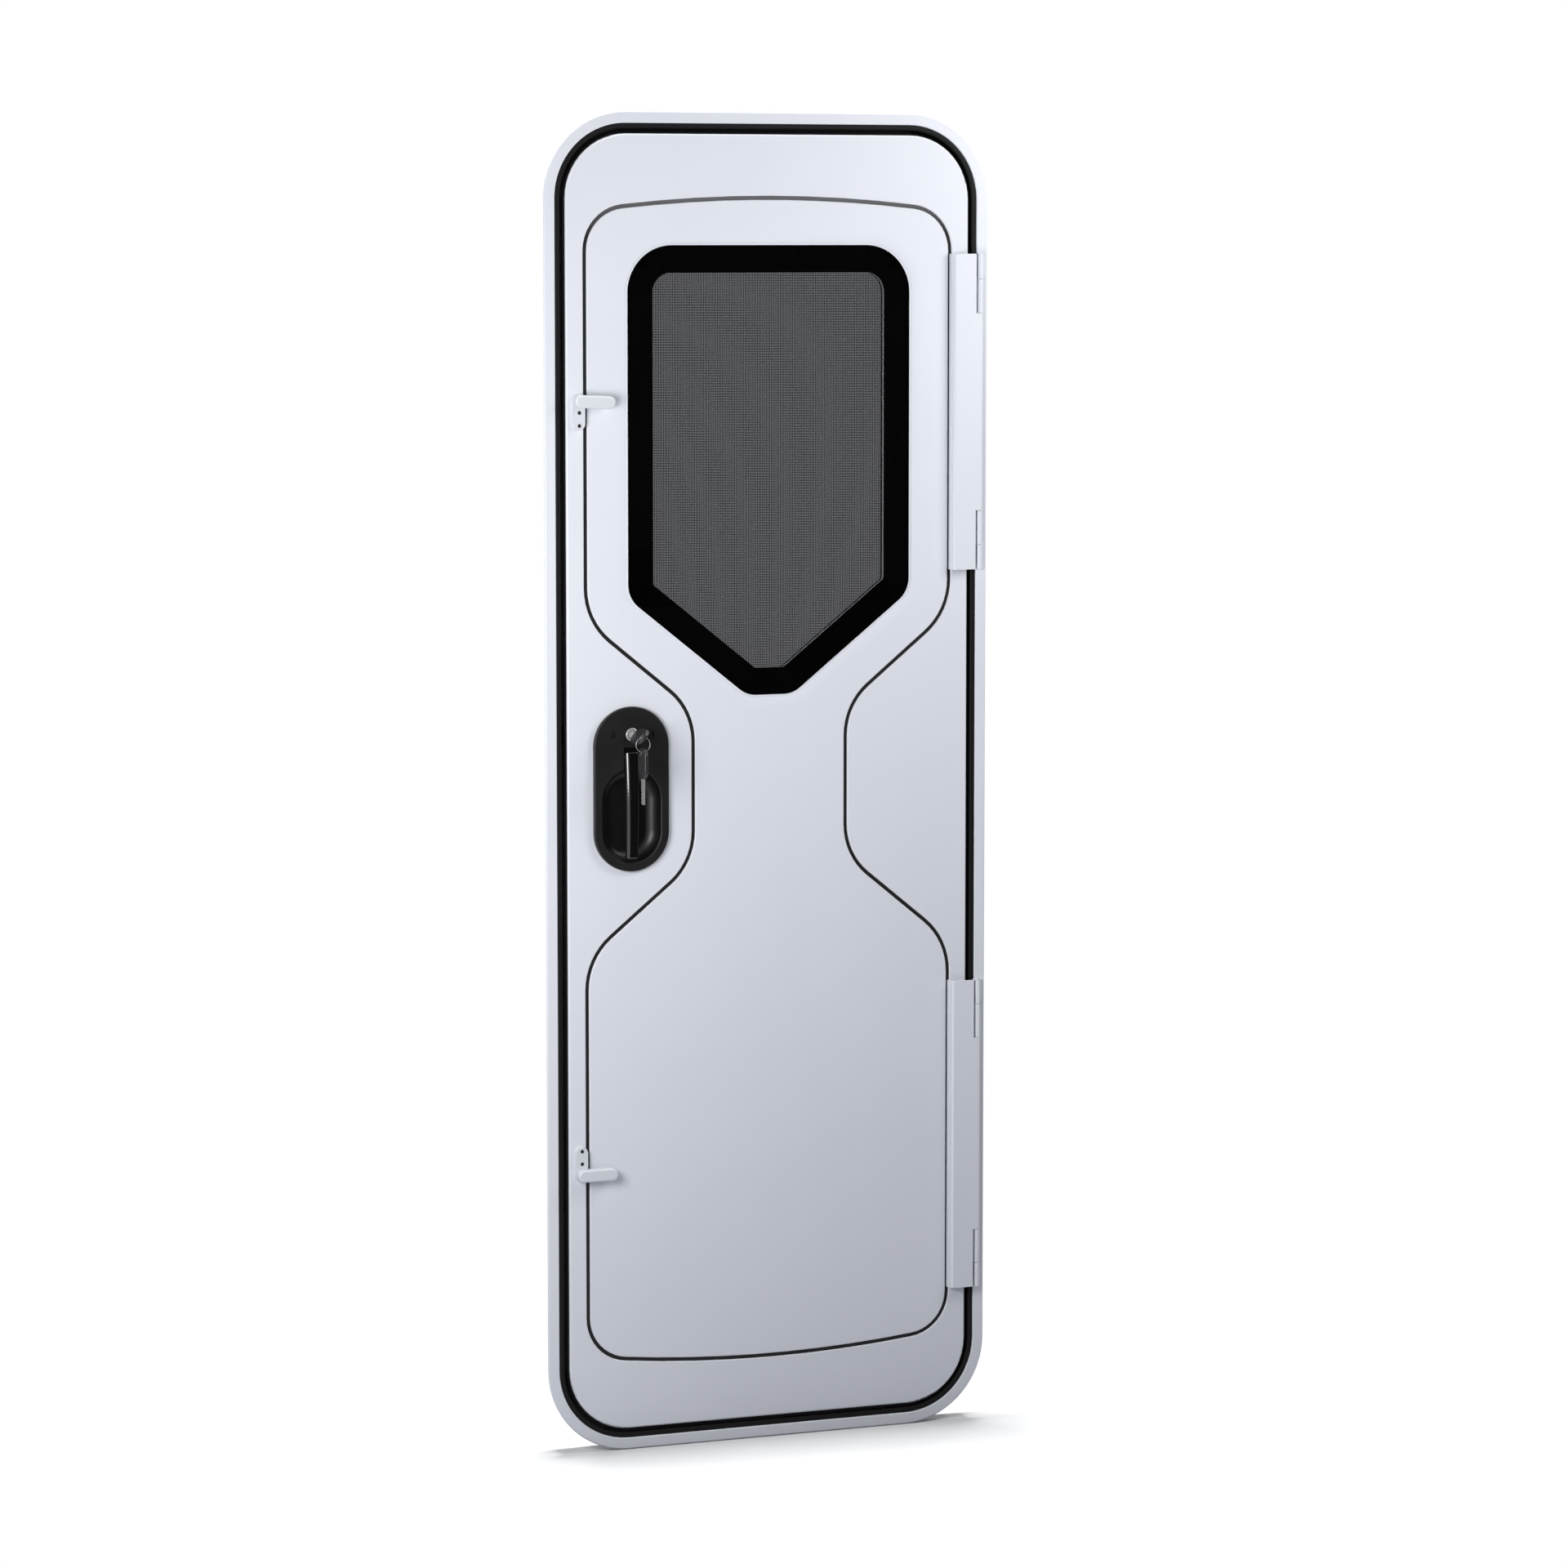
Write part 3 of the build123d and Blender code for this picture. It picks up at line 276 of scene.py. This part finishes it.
def surface(
    name,
    light,
    dark,
    rough,
    metallic=0.0,
    specular=0.5,
    grain=400.0,
    relief=0.1,
    depth=SOFT_RELIEF,
    stretch=EVEN_GRAIN,
):
    """A finish with soft patches of colour and gloss and a fine relief."""
    mat, tree, shader = new_material(name)
    patches = spread(tree, noise(tree, PATCH_SCALE, 4.0, stretch), 0, 1)
    gloss = spread(tree, noise(tree, PATCH_SCALE * GLOSS_PATCH_RATIO, 5.0, stretch), *rough)
    feed(tree, shader.inputs["Base Color"], mix_colours(tree, patches, opaque(light), opaque(dark)))
    feed(tree, shader.inputs["Roughness"], gloss)
    feed(tree, shader.inputs["Metallic"], metallic)
    feed(tree, shader.inputs["Specular IOR Level"], specular)
    bump(tree, shader, noise(tree, grain, 3.0, stretch), relief, depth)
    return mat


def grey(value, blue=1.05):
    """A neutral colour with a trace of blue."""
    return (value, value, value * blue)


def change_finish(mat, level, new_colour, new_gloss, new_specular):
    """Lead a finish over to another colour, gloss and sheen by a level from 0 to 1."""
    tree = mat.node_tree
    shader = next(node for node in tree.nodes if node.type == "BSDF_PRINCIPLED")
    colour = shader.inputs["Base Color"]
    gloss = shader.inputs["Roughness"]
    sheen = shader.inputs["Specular IOR Level"]
    feed(tree, colour, mix_colours(tree, level, colour.links[0].from_socket, opaque(new_colour)))
    feed(tree, gloss, map_range(tree, level, 0, 1, gloss.links[0].from_socket, new_gloss))
    feed(tree, sheen, map_range(tree, level, 0, 1, sheen.default_value, new_specular))
    return mat


def lock_moulding():
    """Satin black on the lock's face; smoother in its hollow, which is also painted darker as painted
    shade.
    """
    mat = surface(
        "lock_satin_black",
        grey(0.008),
        grey(0.006),
        (0.40, 0.50),
        specular=0.3,
        grain=2200,
        relief=0.3,
        depth=FINE_RELIEF,
    )
    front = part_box("lock_plate")[0].y
    # The hollow below the rim is painted darker as painted shade; its lower roughness and higher specular
    # are the moulding's own.
    dish_shade_and_gloss = ramp_along(mat.node_tree, "Y", front + DISH_RIM_DEPTH, front + DISH_WALL_DEPTH)
    return change_finish(mat, dish_shade_and_gloss, grey(0.003), 0.34, 0.40)


def liner_with_painted_light():
    """The window's liner: black, with its front edge next to the glass painted pale as painted light."""
    # The pale base colour is painted light on the front edge; further back the liner turns to its own
    # black.
    mat = surface(
        "window_liner", grey(0.80), grey(0.74), (0.45, 0.55), specular=0.05, grain=900, relief=0.05
    )
    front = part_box("window_liner")[0].y
    behind = ramp_along(mat.node_tree, "Y", front + LINER_PAINTED_LIGHT_DEPTH, front + LINER_BLACK_DEPTH)
    return change_finish(mat, behind, grey(0.004), 0.6, 0.05)


def panel_rubber():
    """The panel's seal: black, and painted paler along its top run as painted light."""
    mat = surface(
        "panel_rubber", grey(0.020), grey(0.015), (0.45, 0.6), specular=0.15, grain=1500, relief=0.25
    )
    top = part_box("panel_seal")[1].z
    # The paler band along the top of the seal is painted light.
    seal_head_painted_light = ramp_along(mat.node_tree, "Z", top - SEAL_PAINTED_LIGHT_START, top - SEAL_PAINTED_LIGHT_END)
    return change_finish(mat, seal_head_painted_light, grey(0.13), 0.6, 0.15)


def frame_paint():
    """White paint, painted near-black on the outward face of the frame's stop, deep in the gap between the
    seals, as painted shade.
    """
    mat = surface("frame_paint", PAINT_LIGHT, PAINT_DARK, (0.30, 0.38), grain=320, relief=0.06)
    tree = mat.node_tree
    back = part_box("frame_head")[1].y
    # The stop's outward face, deep in the gap between the seals, is painted near-black as painted shade.
    inner = ramp_along(tree, "Y", back - STOP_SHADE_START, back - STOP_SHADE_END)
    outward = ramp_along(tree, "Y", FACING_ASIDE, FACING_OUTWARD, "Normal")
    stop_painted_shade = combine(tree, "MULTIPLY", inner, outward)
    return change_finish(mat, stop_painted_shade, grey(0.014), 0.55, 0.1)


def tinted_glass():
    """Grey glass with faint streaks in its gloss."""
    mat, tree, shader = new_material("window_glass")
    feed(tree, shader.inputs["Base Color"], opaque(GLASS_TINT))
    feed(tree, shader.inputs["Transmission Weight"], 1.0)
    feed(tree, shader.inputs["IOR"], GLASS_REFRACTION)
    feed(tree, shader.inputs["Roughness"], spread(tree, noise(tree, 9.0, 4.0), 0.0, 0.02))
    return mat


FINISHES = {
    "frame_paint": frame_paint(),
    "leaf_paint": surface("leaf_paint", PAINT_LIGHT, PAINT_DARK, (0.34, 0.42), grain=320, relief=0.06),
    "core_board": surface(
        "core_board", grey(0.74, 1.03), grey(0.70, 1.03), (0.5, 0.62), grain=700, relief=0.2
    ),
    "black_rubber": surface(
        "black_rubber", grey(0.009), grey(0.007), (0.45, 0.6), specular=0.12, grain=1500, relief=0.25
    ),
    "window_glass": tinted_glass(),
    "black_border": surface(
        "black_border", grey(0.005), grey(0.004), (0.3, 0.4), specular=0.0, grain=900, relief=0.02
    ),
    "mesh_black": surface(
        "mesh_wire", grey(0.030), grey(0.022), (0.35, 0.5), specular=0.3, grain=900, relief=0.2
    ),
    "mesh_frame_paint": surface(
        "mesh_frame_paint", MESH_FRAME_LIGHT, MESH_FRAME_DARK, (0.36, 0.46), grain=320, relief=0.08
    ),
    "hinge_paint": surface(
        "hinge_paint", PAINT_LIGHT, PAINT_DARK, (0.30, 0.40), grain=420, relief=0.08, stretch=UPRIGHT_GRAIN
    ),
    "pin_steel": surface("pin_steel", grey(0.045), grey(0.032), (0.3, 0.45), metallic=1.0, grain=900),
    "lock_satin_black": lock_moulding(),
    "handle_gloss_black": surface(
        "handle_gloss_black", grey(0.004), grey(0.003), (0.06, 0.10), specular=0.9, grain=500, relief=0.02
    ),
    "bright_metal": surface(
        "bright_metal",
        grey(0.54, 1.01),
        grey(0.46, 1.01),
        (0.20, 0.32),
        metallic=0.55,
        grain=1500,
        relief=0.06,
    ),
    "key_plastic": surface(
        "key_plastic", grey(0.030), grey(0.022), (0.22, 0.32), specular=0.4, grain=1200, relief=0.08
    ),
    "clip_plastic": surface(
        "clip_plastic", CLIP_LIGHT, CLIP_DARK, (0.34, 0.44), grain=900, relief=0.08
    ),
    "inner_black": surface(
        "inner_black", grey(0.020), grey(0.015), (0.4, 0.52), grain=2200, relief=0.3, depth=FINE_RELIEF
    ),
}
NODE_FINISHES = {"window_liner": liner_with_painted_light(), "panel_seal": panel_rubber()}
for part in frame["record"]["subparts"]:
    slots = nodes[part["node"]].data.materials
    slots.clear()
    slots.append(NODE_FINISHES.get(part["node"], FINISHES[part["material_slot"]]))
nodes["window_glass"].visible_shadow = False


# Small pieces


def add_piece(name, mesh, body, slot):
    """Put a mesh into the scene as a piece on a body."""
    obj = bpy.data.objects.new(name, mesh)
    bpy.context.scene.collection.objects.link(obj)
    obj.data.materials.append(FINISHES[slot])
    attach(obj, body)
    return obj


def finished_mesh(name, bm):
    """Turn a built form into a smooth mesh with its normals outward."""
    bmesh.ops.recalc_face_normals(bm, faces=bm.faces)
    for face in bm.faces:
        face.smooth = True
    mesh = bpy.data.meshes.new(name)
    bm.to_mesh(mesh)
    bm.free()
    return mesh


def sharpen(ring):
    """Keep a ring of points as a hard edge."""
    for a, b in zip(ring, ring[1:] + ring[:1]):
        shared = [edge for edge in a.link_edges if edge.other_vert(a) is b]
        for edge in shared:
            edge.smooth = False


def join_rings(bm, rings):
    """Close the skin between neighbouring rings of points."""
    for inner, outer in zip(rings, rings[1:]):
        for k in range(len(inner)):
            after = (k + 1) % len(inner)
            bm.faces.new((inner[k], inner[after], outer[after], outer[k]))


def wire_ring(bm, centre, radius, side, half_sides):
    """A ring of points round a wire, which lies across Y and across one other side."""
    inward = Vector((0, 1, 0))
    angles = [k * pi / half_sides for k in range(2 * half_sides)]
    return [bm.verts.new(centre + radius * (cos(angle) * side + sin(angle) * inward)) for angle in angles]


def cross_reach(angle, length, width):
    """How far a cross of a length and arm width reaches from its middle in one direction."""
    across = max(abs(cos(angle)), 1e-6)
    along = max(abs(sin(angle)), 1e-6)
    flat_arm = min(length / 2 / across, width / 2 / along)
    upright_arm = min(width / 2 / across, length / 2 / along)
    return max(flat_arm, upright_arm)


def screw_mesh(name, seat, outward, radius, height, turn):
    """A screw head with a cross recess, standing on a seat and facing along Y."""
    length = RECESS_LENGTH * radius
    width = RECESS_WIDTH * radius
    corner = atan2(width, length)
    marks = [quarter * pi / 2 + part for quarter in range(4) for part in (corner, pi / 4, pi / 2 - corner)]
    angles = sorted(marks + [k * pi / HEAD_HALF_SIDES for k in range(2 * HEAD_HALF_SIDES)])
    bm = bmesh.new()

    def ring(reach, level):
        spots = []
        for angle in angles:
            way = angle + radians(turn)
            size = reach(angle)
            offset = Vector((size * cos(way), outward * level, size * sin(way)))
            spots.append(bm.verts.new(Vector(seat) + offset))
        return spots

    def disc(share):
        return lambda angle: share * radius

    def recess(scale):
        return lambda angle: scale * cross_reach(angle, length, width)

    rings = [ring(disc(share), level * height) for share, level in HEAD_PROFILE]
    lip = ring(recess(RECESS_LIP), height)
    edge = ring(recess(1.0), height * RECESS_EDGE_LEVEL)
    floor = ring(recess(RECESS_FLOOR), height - RECESS_DEPTH * height)
    rings += [lip, edge, floor]
    join_rings(bm, rings)
    bm.faces.new(rings[0])
    bm.faces.new(floor)
    sharpen(lip)
    sharpen(floor)
    return finished_mesh(name, bm)


def joint_place(name):
    """Where a joint of the record stands."""
    rows = frame["record"]["behaviour"]["joints"]
    return Vector(next(row["pos_m"] for row in rows if row["name"] == name))


def add_lock_screws():
    """The two screws of the lock plate, level with the cylinder."""
    plate_low, plate_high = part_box("lock_plate")
    bezel_low, bezel_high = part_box("cylinder_bezel")
    middle = (plate_low.x + plate_high.x) / 2
    level = (bezel_low.z + bezel_high.z) / 2
    for side, word, turn in ((-1, "left", 14), (1, "right", 52)):
        name = f"lock_screw_{word}"
        seat = (middle + side * LOCK_SCREW_OFFSET, plate_low.y + LOCK_SCREW_DEPTH, level)
        mesh = screw_mesh(name, seat, -1, LOCK_SCREW_RADIUS, LOCK_SCREW_HEIGHT, turn)
        add_piece(name, mesh, "door", "lock_satin_black")


def add_clip_screws():
    """The two screws of each clip's base."""
    for clip, side, turns in (("upper", -1, (20, 65)), ("lower", 1, (38, 5))):
        pivot = joint_place(f"{clip}_clip_turn")
        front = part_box(f"{clip}_clip_arm")[1].y + CLIP_ARM_GAP
        for number, turn in enumerate(turns):
            name = f"{clip}_clip_screw_{number + 1}"
            away = CLIP_SCREW_FIRST + number * CLIP_SCREW_PITCH
            seat = (pivot.x, front + CLIP_SCREW_DEPTH, pivot.z + side * away)
            mesh = screw_mesh(name, seat, -1, CLIP_SCREW_RADIUS, CLIP_SCREW_HEIGHT, turn)
            add_piece(name, mesh, "door", "inner_black")


def add_inner_screws():
    """The two screws of the lock's inner cover."""
    low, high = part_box("inner_lock_cover")
    centre = (low + high) / 2
    for side, word, turn in ((-1, "bottom", 31), (1, "top", 72)):
        name = f"inner_cover_screw_{word}"
        seat = (centre.x, high.y, centre.z + side * INNER_SCREW_OFFSET)
        mesh = screw_mesh(name, seat, 1, INNER_SCREW_RADIUS, INNER_SCREW_HEIGHT, turn)
        add_piece(name, mesh, "door", "pin_steel")


add_lock_screws()
add_clip_screws()
add_inner_screws()


def build_split_ring():
    """A key ring of two turns of wire that lie side by side and step over once."""
    low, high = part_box("key_ring")
    centre = (low + high) / 2
    radius = (high.x - low.x) / 2 - RING_INSET
    step_at = RING_STEP_PLACE * 2 * pi
    step_over = radians(RING_STEP_LENGTH)
    bm = bmesh.new()
    rings = []
    for number in range(RING_STATIONS + 1):
        share = number / RING_STATIONS
        angle = (4 * pi - radians(RING_END_GAP)) * share
        stepped = min(max((angle - step_at) / step_over, 0), 1)
        side = 2 * stepped * stepped * (3 - 2 * stepped) - 1
        way = angle + radians(RING_START)
        out = Vector((cos(way), 0, sin(way)))
        spot = centre + radius * out + Vector((0, side * RING_WIRE_RADIUS, 0))
        rings.append(wire_ring(bm, spot, RING_WIRE_RADIUS, out, RING_HALF_SIDES))
    join_rings(bm, rings)
    for end in (rings[0], rings[-1]):
        bm.faces.new(end)
        sharpen(end)
    return finished_mesh("split_key_ring", bm)


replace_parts(add_piece("split_key_ring", build_split_ring(), "door", "bright_metal"), "key_ring")


def outline_edges(node, level):
    """The sharp rim of a flat node at one level: pairs of X and Z."""
    mesh = nodes[node].data
    spots = np.array([v.co for v in mesh.vertices])
    uses = {}
    for polygon in mesh.polygons:
        corners = list(polygon.vertices)
        if any(abs(spots[v][1] - level) >= FLAT_TOLERANCE for v in corners):
            continue
        for a, b in zip(corners, corners[1:] + corners[:1]):
            first = tuple(np.round(spots[a][[0, 2]], 6))
            second = tuple(np.round(spots[b][[0, 2]], 6))
            if first != second:
                key = (min(first, second), max(first, second))
                uses[key] = uses.get(key, 0) + 1
    return [key for key, count in uses.items() if count == 1]


def crossings(edges, axis, value):
    """Where a line at one X or Z crosses the rim, in order."""
    found = []
    for a, b in edges:
        low, high = a[axis], b[axis]
        if (low - value) * (high - value) < 0:
            share = (value - low) / (high - low)
            found.append(a[1 - axis] + share * (b[1 - axis] - a[1 - axis]))
    return sorted(found)


def build_mesh_wires():
    """The security mesh as two layers of crossing wires inside its rim."""
    low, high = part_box("security_mesh")
    edges = outline_edges("security_mesh", low.y)
    middle = (low.y + high.y) / 2
    bm = bmesh.new()

    def wire(start, end):
        side = (end - start).normalized().cross(Vector((0, 1, 0)))
        ends = [wire_ring(bm, spot, MESH_WIRE_RADIUS, side, MESH_WIRE_HALF_SIDES) for spot in (start, end)]
        join_rings(bm, ends)

    def places(first, last):
        count = int((last - first) / MESH_PITCH)
        return [first + (last - first) * number / count for number in range(1, count)]

    flat_layer = middle - MESH_WIRE_RADIUS / 2
    for z in places(low.z, high.z):
        spots = crossings(edges, 1, z)
        for left, right in zip(spots[::2], spots[1::2]):
            wire(Vector((left, flat_layer, z)), Vector((right, flat_layer, z)))
    upright_layer = middle + MESH_WIRE_RADIUS / 2
    for x in places(low.x, high.x):
        spots = crossings(edges, 0, x)
        for bottom, top in zip(spots[::2], spots[1::2]):
            wire(Vector((x, upright_layer, bottom)), Vector((x, upright_layer, top)))
    return finished_mesh("security_mesh_wires", bm)


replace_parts(add_piece("security_mesh_wires", build_mesh_wires(), "door", "mesh_black"), "security_mesh")


# Stage


def facing(place, direction):
    """A placement that looks along a direction."""
    return Matrix.Translation(place) @ direction.to_track_quat("-Z", "Y").to_matrix().to_4x4()


def add_camera():
    """The camera at the photograph's place: along Y, turned towards X by its yaw and up by its pitch."""
    data = bpy.data.cameras.new("camera")
    data.sensor_width = SENSOR_WIDTH
    data.lens = FOCAL_PIXELS / PHOTO_PIXELS * SENSOR_WIDTH
    data.clip_end = CAMERA_REACH
    camera = bpy.data.objects.new("camera", data)
    bpy.context.scene.collection.objects.link(camera)
    yaw = radians(CAMERA_YAW)
    pitch = radians(CAMERA_PITCH)
    direction = Vector((sin(yaw) * cos(pitch), cos(yaw) * cos(pitch), sin(pitch)))
    camera.matrix_world = facing(CAMERA_PLACE, direction)
    bpy.context.scene.camera = camera


def add_lamp(name, place, target, width, depth, power):
    """A soft lamp that faces a target."""
    data = bpy.data.lights.new(name, "AREA")
    data.shape = "RECTANGLE"
    data.size = width
    data.size_y = depth
    data.energy = power
    lamp = bpy.data.objects.new(name, data)
    bpy.context.scene.collection.objects.link(lamp)
    lamp.matrix_world = facing(place, Vector(target) - Vector(place))


add_camera()
add_lamp("key", place=(-1.4, -1.1, 1.22), target=(0, 0, 1.2), width=0.8, depth=0.8, power=23.6)
add_lamp("upper_right", place=(1.1, -0.9, 1.95), target=(0.1, 0, 1.55), width=0.8, depth=0.8, power=14.0)
add_lamp("top", place=(0, 0.56, 12.0), target=(0, 0.56, 0), width=2.9, depth=1.3, power=1325)
add_lamp("back", place=(-0.8, 3.2, 2.2), target=(0, 0, 1.0), width=1.6, depth=1.6, power=45)


def build_world():
    """White to what looks straight, by reflection or through glass, and a soft bluish room as light."""
    world = bpy.data.worlds.new("studio")
    bpy.context.scene.world = world
    tree = empty_tree(world)
    output = tree.nodes.new("ShaderNodeOutputWorld")
    room = tree.nodes.new("ShaderNodeBackground")
    feed(tree, room.inputs["Color"], opaque(ROOM_TINT))
    feed(tree, room.inputs["Strength"], ROOM_STRENGTH)
    white = tree.nodes.new("ShaderNodeBackground")
    feed(tree, white.inputs["Color"], (1, 1, 1, 1))
    path = tree.nodes.new("ShaderNodeLightPath")
    seen = path.outputs["Is Camera Ray"]
    for kind in ("Is Glossy Ray", "Is Transmission Ray"):
        seen = combine(tree, "MAXIMUM", seen, path.outputs[kind])
    shown = mix_shaders(tree, seen, room.outputs["Background"], white.outputs["Background"])
    feed(tree, output.inputs["Surface"], shown)


build_world()


def stage_plane(name, corners, material):
    """A flat stage piece through four corners."""
    mesh = bpy.data.meshes.new(name)
    mesh.from_pydata(corners, [], [(0, 1, 2, 3)])
    mesh.materials.append(material)
    plane = bpy.data.objects.new(name, mesh)
    bpy.context.scene.collection.objects.link(plane)
    return plane


def build_floor():
    """A pale floor that keeps the shadow near the object and turns white further off."""
    mat = bpy.data.materials.new("floor")
    tree = empty_tree(mat)
    output = tree.nodes.new("ShaderNodeOutputMaterial")
    pale = tree.nodes.new("ShaderNodeBsdfDiffuse")
    feed(tree, pale.inputs["Color"], opaque(FLOOR_PALE))
    bounce = tree.nodes.new("ShaderNodeBsdfDiffuse")
    feed(tree, bounce.inputs["Color"], opaque(FLOOR_BOUNCE))
    white = tree.nodes.new("ShaderNodeEmission")
    coords = tree.nodes.new("ShaderNodeTexCoord")
    length = tree.nodes.new("ShaderNodeVectorMath")
    length.operation = "LENGTH"
    feed(tree, length.inputs[0], coords.outputs["Object"])
    fade = map_range(tree, length.outputs["Value"], FLOOR_FADE_START, FLOOR_FADE_END)
    fade.node.interpolation_type = "SMOOTHSTEP"
    path = tree.nodes.new("ShaderNodeLightPath")
    seen = mix_shaders(tree, fade, pale.outputs["BSDF"], white.outputs["Emission"])
    final = mix_shaders(tree, path.outputs["Is Diffuse Ray"], seen, bounce.outputs["BSDF"])
    feed(tree, output.inputs["Surface"], final)
    level = cad_box[0][2] - FLOOR_DROP
    corners = [(-1, -1), (1, -1), (1, 1), (-1, 1)]
    stage_plane("floor", [(FLOOR_REACH * x, FLOOR_REACH * y, level) for x, y in corners], mat)


build_floor()


def dark_card():
    """A material that only shows one dark tone."""
    mat = bpy.data.materials.new("dark_flag")
    tree = empty_tree(mat)
    output = tree.nodes.new("ShaderNodeOutputMaterial")
    glow = tree.nodes.new("ShaderNodeEmission")
    feed(tree, glow.inputs["Color"], opaque(FLAG_DARK))
    feed(tree, output.inputs["Surface"], glow.outputs["Emission"])
    return mat


def build_flags():
    """Dark cards that the flat faces mirror: in front, at the right and on the floor between."""
    dark = dark_card()
    cards = {
        "front": [
            (FLAG_LEFT, FLAG_FRONT, FLAG_LOW),
            (FLAG_RIGHT, FLAG_FRONT, FLAG_LOW),
            (FLAG_RIGHT, FLAG_FRONT, FLAG_HIGH),
            (FLAG_LEFT, FLAG_FRONT, FLAG_HIGH),
        ],
        "right": [
            (FLAG_RIGHT, FLAG_FRONT, FLAG_LOW),
            (FLAG_RIGHT, FLAG_BACK, FLAG_LOW),
            (FLAG_RIGHT, FLAG_BACK, FLAG_HIGH),
            (FLAG_RIGHT, FLAG_FRONT, FLAG_HIGH),
        ],
        "floor": [
            (FLAG_LEFT, FLAG_FRONT, FLAG_LOW),
            (FLAG_RIGHT, FLAG_FRONT, FLAG_LOW),
            (FLAG_RIGHT, FLAG_NEAR, FLAG_LOW),
            (FLAG_LEFT, FLAG_NEAR, FLAG_LOW),
        ],
    }
    for word, corners in cards.items():
        flag = stage_plane(f"dark_flag_{word}", corners, dark)
        flag.visible_camera = False
        flag.visible_diffuse = False
        flag.visible_shadow = False
        flag.visible_transmission = False


build_flags()

view = bpy.context.scene.view_settings
view.view_transform = "Standard"
